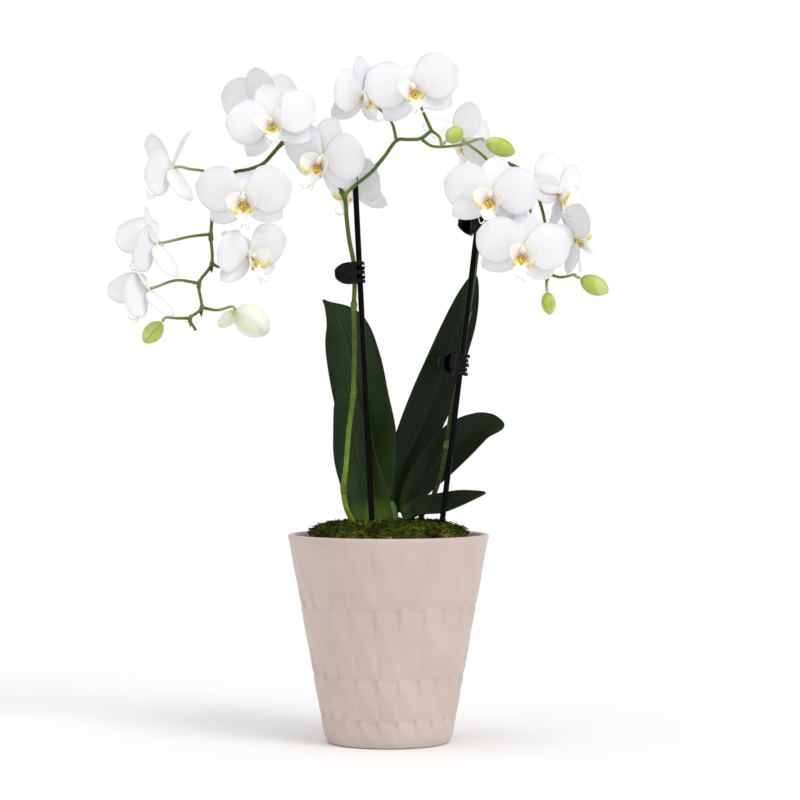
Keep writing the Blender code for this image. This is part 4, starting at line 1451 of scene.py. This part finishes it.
@dataclass(frozen=True)
class Bud:
    """A closed bud that grows from its base towards its tip."""

    node: str
    base: Point
    tip: Point
    width: float
    pedicel: tuple[Point, ...]

    def pedicel_route(self) -> list[Vector]:
        """The way from the spike to the bud's base."""
        out = (Vector(self.tip) - Vector(self.base)).normalized()
        return stalk(self.pedicel, Vector(self.base) - out * 2 * GAP, out * 4.0)

    def mesh(self) -> Mesh:
        """An egg with three seams where its sepals meet."""
        base = above_rim(*self.base)
        axis = above_rim(*self.tip) - base
        shares = ((0.0, 0.0), (0.0, 0.16), (0.04, 0.36), (0.12, 0.62), (0.24, 0.85), (0.38, 0.97), (0.54, 1.0))
        shares += ((0.7, 0.9), (0.84, 0.67), (0.94, 0.38), (0.99, 0.14), (1.0, 0.0))
        bm = turned([(reach * self.width / 2, share * axis.length) for share, reach in shares], 36)

        def seams(angle: float, _: float) -> float:
            """Three narrow seams on a slightly three-sided section."""
            return 1 - 0.07 * math.exp(-((math.sin(1.5 * angle) / 0.12) ** 2)) + 0.02 * math.cos(3 * angle)

        squeezed(bm, seams).transform(towards(axis.normalized(), base))
        return bm

    def build(self, skin: Material) -> None:
        """Make the bud."""
        install(finished(self.mesh(), f"{self.node}_skin", [skin], levels=1), self.node)


@dataclass(frozen=True)
class OpeningBud(Bud):
    """A bud whose sepals have begun to part round the petals."""

    def build_opening(self, skin: Material, petal: Material) -> None:
        """Make the folded petals, two sepals that still clasp them, and the one that has let go."""
        base = above_rim(*self.base)
        axis = above_rim(*self.tip) - base
        place = towards(axis.normalized(), base)
        long = axis.length
        shares = ((0.0, 0.0), (0.0, 0.2), (0.08, 0.62), (0.22, 0.9), (0.42, 1.0))
        shares += ((0.62, 0.96), (0.8, 0.74), (0.94, 0.38), (1.0, 0.0))
        core = turned([(reach * self.width / 2, share * long) for share, reach in shares], 36)

        def laps(angle: float, height: float) -> float:
            """Two seams that wind slowly round the folded petals."""
            return 1 - 0.06 * math.exp(-((math.sin(angle + 0.05 * height) / 0.14) ** 2))

        squeezed(core, laps).transform(place)
        install(finished(core, f"{self.node}_petals", [petal], levels=1), self.node)
        bm = bmesh.new()
        for turn, wide, reach in ((196.0, 0.42, 1.0), (330.0, 0.45, 0.9)):
            sepal = Blade(long * reach, 1.0, (0.5, 0.85, 1.0, 0.96, 0.8, 0.6, 0.45), round_from=0.7, groove=0.0)
            sheet = sepal.mesh()
            for vertex in sheet.verts:
                share = min(1.0, max(0.0, vertex.co.y / long))
                hug = self.width / 2 * (0.08 + 1.0 * math.sin(math.pi * min(1.0, share * 0.86 + 0.07)) ** 0.62)
                angle = math.radians(turn) + wide * vertex.co.x
                vertex.co = (hug * math.cos(angle), hug * math.sin(angle), vertex.co.y)
            absorb(bm, sheet)
        bm.transform(place)
        outline = (0.35, 0.7, 0.95, 1.0, 0.96, 0.88, 0.8)
        fallen = Blade(18.0, 5.4, outline, cup=2.2, arch=-2.0, round_from=0.55).mesh()
        along = Vector((-0.78, 0.1, -0.62)).normalized()
        across = along.cross(Vector((0.2, -1.0, 0.2))).normalized()
        absorb(bm, fallen, axes_to(across, along, across.cross(along), base + Vector((0.5, 1.5, -1.0))))
        install(finished(bm, f"{self.node}_sepals", [skin], 0.5, 1), self.node)


OPENING_BUD = OpeningBud(
    "opening_bud", (-112, -24, 166), (-88, -29, 149), 24.0, ((-138, -20, 168), (-126, -22, 166))
)
CASCADE_BUD = Bud("cascade_bud", (-167, -22, 157), (-180, -24, 142), 14.0, ((-146, -22, 160), (-156, -22, 160)))
CREST_BUDS = numbered(
    Bud,
    "crest_bud",
    ((43, -9, 292), (55, -11, 301), 12.5, ((32, -7, 300), (38, -8, 295))),
    ((72, -8, 292), (94, -8, 283), 14.0, ((25, -8, 293), (34, -8, 288), (52, -8, 289))),
)
RIGHT_BUDS = numbered(
    Bud,
    "right_bud",
    ((143, -6, 190), (163.5, -8, 180), 15.0, ((118, -5, 194), (128, -6, 191), (138, -6, 193))),
    ((118, -8, 180), (120, -10, 163), 11.0, ((118, -6, 193),)),
)


# ---- Spikes ----------------------------------------------------------------------------------


@dataclass(frozen=True)
class Spike:
    """A flower spike: its stem, side branches, the joints with their bracts, and the pedicels."""

    node: str
    route: tuple[Point, ...]
    branches: tuple[tuple[Point, ...], ...]
    joints: tuple[int, ...]
    carried: tuple[OpenFlower | Bud, ...]

    def joint(self, at: Vector, up: Vector, radius: float) -> Mesh:
        """A swollen ring with a short bract that clasps the stem.

        Args:
            at: The middle of the stem there.
            up: The way the stem grows.
            radius: The stem's radius there.

        Returns:
            The ring and the bract.
        """
        shares = ((-2.6, 0.9), (-1.6, 1.12), (-0.4, 1.22), (0.6, 1.1), (1.8, 1.04), (3.4, 0.98))
        bm = turned([(radius * share, height) for height, share in shares], 14)
        outline = (1.0, 0.98, 0.9, 0.74, 0.5, 0.12)
        sheet = Blade(7.5, radius * 2.0, outline, groove=0.0, rows=8, columns=8).mesh()
        for vertex in sheet.verts:
            angle = vertex.co.x / (radius * 1.25)
            reach = radius * 1.18 + 0.10 * max(0.0, vertex.co.y)
            vertex.co = (reach * math.sin(angle), -reach * math.cos(angle), vertex.co.y - 0.8)
        absorb(bm, sheet)
        bm.transform(towards(up, at))
        return bm

    def build(self, stem: Material, pedicel: Material, bract: Material) -> None:
        """Make the stem with its branches, the bracts and the pedicels."""
        radius = STEM_DIAMETER / 2
        main = smooth_route([above_rim(*point) for point in self.route])
        bm = swept(main, (radius * 1.15, radius, radius * 0.9, radius * 0.75, radius * 0.6), 14)
        for branch in self.branches:
            line = smooth_route([above_rim(*point) for point in branch])
            absorb(bm, swept(line, (BRANCH_DIAMETER / 2, BRANCH_DIAMETER / 2), 12))
        install(finished(bm, f"{self.node}_stem", [stem]), self.node)
        rings = bmesh.new()
        point_values(rings)
        for index in self.joints:
            i = index * STEM_SAMPLES
            up = (main[min(i + 1, len(main) - 1)] - main[i - 1]).normalized()
            share = i / (len(main) - 1)
            absorb(rings, self.joint(main[i], up, radius * (1.1 - 0.5 * share)))
        install(finished(rings, f"{self.node}_bracts", [bract], 0.35), self.node)
        stalks = bmesh.new()
        radii = [PEDICEL_DIAMETER / 2 * share for share in (1.15, 0.92, 0.9, 0.95, 1.1)]
        for item in self.carried:
            absorb(stalks, swept(item.pedicel_route(), radii, 10))
        install(finished(stalks, f"{self.node}_pedicels", [pedicel]), self.node)


LEFT_TIED = [tuple(LEFT_STAKE.beside(height, -1.0, -0.3)) for height in (186.0, 202.0)]
LEFT_SPIKE = Spike(
    "left_spike",
    (
        (-20, -8, -12), (-26, -14, 8), (-31, -20, 20), (-33, -24, 33), (-31, -25, 52), (-29, -23, 78),
        (-26, -20, 103), (-25, -17, 137), (-25.5, -15, 168), *LEFT_TIED, (-29, -11, 218), (-31, -9, 234),
        (-33, -6, 251), (-44, 4, 272), (-57, 10, 289), (-68, 8, 296), (-78, 4, 293), (-87, 2, 283),
        (-94, 2, 276), (-105, 4, 272), (-115, 4, 270), (-124, 2, 262), (-130, -2, 245), (-132, -6, 223),
        (-131, -12, 201), (-140, -16, 186), (-138, -20, 168), (-146, -22, 160), (-142, -22, 151),
    ),
    ((
        (-33, -6, 251), (-29, -12, 255), (-23, -14.5, 260), (-12, -14, 269), (-3, -13, 280),
        (6, -12, 292), (15, -10, 293), (24, -8, 294), (32, -7, 300),
    ),),
    (3, 6, 8, 13, 15, 17, 22, 24, 25, 26, 27, 28),
    (*CASCADE_FLOWERS, *CREST_FLOWERS, OPENING_BUD, CASCADE_BUD, *CREST_BUDS),
)
RIGHT_TIES = ((118.0, 0.0), (134.0, 0.0), (160.0, 0.2), (190.0, 0.5), (222.0, 0.5), (237.0, 0.7))
RIGHT_TIED = [tuple(RIGHT_STAKE.beside(height, x, 1.0)) for height, x in RIGHT_TIES]
RIGHT_SPIKE = Spike(
    "right_spike",
    (
        (22, 8, -12), (24, 7, 11), (33, 4, 27), (39, 0, 45), (43, -4, 66), (47, -7, 92), *RIGHT_TIED,
        (73, 5, 257), (79, 9, 271), (88, 11, 277), (100, 12, 272), (109, 12, 260), (115, 9, 243),
        (118, 3, 225), (119, -2, 208), (118, -6, 194),
    ),
    (),
    (4, 8, 10, 12, 14, 16, 18, 20),
    (*RIGHT_FLOWERS, *RIGHT_BUDS),
)


# ---- Studio ----------------------------------------------------------------------------------


@dataclass(frozen=True)
class Studio:
    """A white sweep, soft lights and the camera."""

    eye: Point = (8.6, -1900.0, 254.7)
    lens: float = 114.6
    white: str = "FAFAFA"
    horizon: str = "FFFFFF"
    ceiling: str = "C2C2C2"

    def floor(self) -> None:
        """A wide pale floor."""
        bm = bmesh.new()
        bmesh.ops.create_grid(bm, x_segments=4, y_segments=4, size=9000.0)
        material = bpy.data.materials.new("white_sweep")
        material.use_nodes = True
        shader = material.node_tree.nodes["Principled BSDF"]
        shader.inputs["Base Color"].default_value = linear(self.white)
        shader.inputs["Roughness"].default_value = 0.9
        shader.inputs["Specular IOR Level"].default_value = 0.1
        finished(bm, "studio_floor", [material])

    def sun(self, name: str, azimuth: float, elevation: float, width: float, strength: float) -> None:
        """A broad distant softbox.

        Args:
            name: The light's name.
            azimuth: Where it stands, in degrees from -Y towards +X.
            elevation: Its height over the floor, in degrees.
            width: The angle that it fills, in degrees.
            strength: Its irradiance.
        """
        data = bpy.data.lights.new(name, "SUN")
        data.angle = math.radians(width)
        data.energy = strength
        light = bpy.data.objects.new(name, data)
        light.rotation_euler = heading(azimuth, elevation).to_track_quat("Z", "Y").to_euler()
        bpy.context.scene.collection.objects.link(light)

    def sky(self) -> None:
        """A white band round the horizon under a dimmer ceiling."""
        world = bpy.data.worlds.new("studio_white")
        world.use_nodes = True
        tree = world.node_tree
        way = Signal(tree, add_node(tree, "ShaderNodeTexCoord").outputs["Generated"])
        height = Signal(tree, add_node(tree, "ShaderNodeSeparateXYZ", {"Vector": way}).outputs["Z"])
        glow = abs(height).ramp((0.16, self.horizon), (0.4, self.ceiling))
        tree.links.new(glow.socket, tree.nodes["Background"].inputs["Color"])
        bpy.context.scene.world = world

    def build(self) -> None:
        """Make the floor, the light and the camera."""
        self.floor()
        self.sky()
        scene = bpy.context.scene
        scene.view_settings.view_transform = "Standard"
        self.sun("key_softbox", 45.0, 42.0, 30.0, 1.12)
        self.sun("top_softbox", -50.0, 76.0, 50.0, 0.8)
        camera = bpy.data.objects.new("camera", bpy.data.cameras.new("camera"))
        camera.data.lens = self.lens
        camera.data.sensor_width = 36.0
        camera.data.clip_end = 50.0
        camera.location = Vector(self.eye) * MM
        camera.rotation_euler = (math.pi / 2, 0.0, 0.0)
        scene.collection.objects.link(camera)
        scene.camera = camera


# ---- The whole plant -------------------------------------------------------------------------


LEAF_RELIEF = {"bump_strength": 0.25, "bump_depth": 0.15}
PLASTIC_RELIEF = {"bump_strength": 0.1, "bump_depth": 0.05}
PEDICEL_GREENS = {"start": "5F7A24", "middle": "8E9658", "end": "CBB8A8"}
SHEATH_GREENS = {"start": "5A6A2C", "middle": "56702A", "end": "3E5C1E"}
OLD_GREENS = {"base": "36491C", "low": "1E2B14", "blade": "152110", "tip": "1B2A13", "vein": "2A3A20"}
PALE_GREENS = {"base": "B4C46A", "side": "E6E9D2", "tip": "D3DAA0", "cream": "EFF0E6", "seam": "B9C67E"}
FURLED_WHITES = {"face": "EEF0E2", "vein": "CFD8A8", "throat": "D5DEA0"}
FINISHES = (
    MattGlaze("matt_glazed_earthenware", 0.5, coat=0.08, bump_strength=0.08),
    MouldedPlastic("nursery_polypropylene", 0.5, dark="17181A", light="2C2D2F"),
    BarkChips("conifer_bark", 0.9, bump_strength=0.8, bump_depth=1.0),
    MossFibre("moss_fibre", 0.95, specular=0.1, bump_strength=0.8, bump_depth=0.8),
    MouldedPlastic("black_polycarbonate", 0.12, specular=0.14, **PLASTIC_RELIEF),
    MouldedPlastic("black_coated_stake", 0.3, specular=0.07, dark="040404", light="0A0A0A", **PLASTIC_RELIEF),
    SpringWire("blackened_spring_wire", 0.32, metallic=1.0, bump_strength=0.1),
    LeafTissue("young_leaf_skin", 0.33, specular=0.2, **LEAF_RELIEF),
    LeafTissue("old_leaf_skin", 0.36, specular=0.16, **LEAF_RELIEF, **OLD_GREENS),
    StemTissue("leaf_sheath", 0.4, fresh=0.3, **SHEATH_GREENS),
    StemTissue("spike_skin", 0.42, specular=0.25),
    StemTissue("shaded_spike_skin", 0.42, specular=0.15, start="2C3A14", middle="33441A"),
    StemTissue("pedicel_skin", 0.45, specular=0.25, fresh=0.3, **PEDICEL_GREENS),
    StemTissue("bract_skin", 0.5, start="6F8A34", middle="5A7030", end="5F6A34"),
    PetalTissue("petal_tissue", 0.6, specular=0.2, subsurface=0.15, bump_strength=0.08),
    LipTissue("lip_middle_lobe", 0.4, bump_strength=0.2),
    LipTissue("lip_side_lobe", 0.4, bump_strength=0.2, part=LipPart.SIDE),
    PlainTissue("lip_callus", 0.35, light="F0D764", dark="B98442", patch=0.8, grain=0.8),
    PlainTissue("column_flesh", 0.45, subsurface=0.1),
    PlainTissue("anther_cap", 0.45, light="F3DDD2", dark="E0B09C"),
    BudTissue("bud_skin", 0.42, subsurface=0.1, bump_strength=0.2),
    BudTissue("opening_sepal_skin", 0.45, **PALE_GREENS),
    PetalTissue("furled_petal_tissue", 0.5, specular=0.2, bump_strength=0.1, **FURLED_WHITES),
)


@dataclass(frozen=True)
class PottedOrchid:
    """Everything that makes up the object, built in order."""

    flowers: tuple[OpenFlower, ...] = (*CASCADE_FLOWERS, *CREST_FLOWERS, *RIGHT_FLOWERS)
    buds: tuple[Bud, ...] = (CASCADE_BUD, *CREST_BUDS, *RIGHT_BUDS)
    pot: Cachepot = Cachepot()
    moss: MossBed = MossBed()
    crown: Crown = Crown()

    def dress_carried_nodes(self, liner: Material, bark: Material) -> None:
        """Give the nodes that stay as they are their materials."""
        for node, material in (("nursery_pot", liner), ("bark_medium", bark)):
            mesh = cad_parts[node].data
            mesh.materials.clear()
            mesh.materials.append(material)

    def build(self) -> None:
        """Build the pot, the planting, the supports, the leaves, the spikes and everything that they carry."""
        made = {finish.name: finish.material() for finish in FINISHES}
        self.dress_carried_nodes(made["nursery_polypropylene"], made["conifer_bark"])
        self.pot.build(made["matt_glazed_earthenware"])
        self.moss.build(made["moss_fibre"])
        for stake in (LEFT_STAKE, RIGHT_STAKE):
            stake.build(made["black_coated_stake"])
        for clip in CLIPS:
            clip.build(made["black_polycarbonate"], made["blackened_spring_wire"])
        for leaf in LEAVES:
            leaf.build(made["old_leaf_skin" if leaf.old else "young_leaf_skin"])
        self.crown.build(made["leaf_sheath"])
        for spike, skin in ((LEFT_SPIKE, "spike_skin"), (RIGHT_SPIKE, "shaded_spike_skin")):
            spike.build(made[skin], made["pedicel_skin"], made["bract_skin"])
        names = ("petal_tissue", "lip_middle_lobe", "lip_side_lobe", "lip_callus", "column_flesh", "anther_cap")
        finishes = FlowerFinishes(*(made[name] for name in names))
        for seed, flower in enumerate(self.flowers, FIRST_SEED):
            flower.build(finishes, seed)
        for bud in self.buds:
            bud.build(made["bud_skin"])
        OPENING_BUD.build_opening(made["opening_sepal_skin"], made["furled_petal_tissue"])


def main() -> None:
    """Build the plant and the studio."""
    logging.basicConfig(level=logging.INFO, format="%(name)s %(message)s")
    PottedOrchid().build()
    Studio().build()
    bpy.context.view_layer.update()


if __name__ == "__main__":
    main()
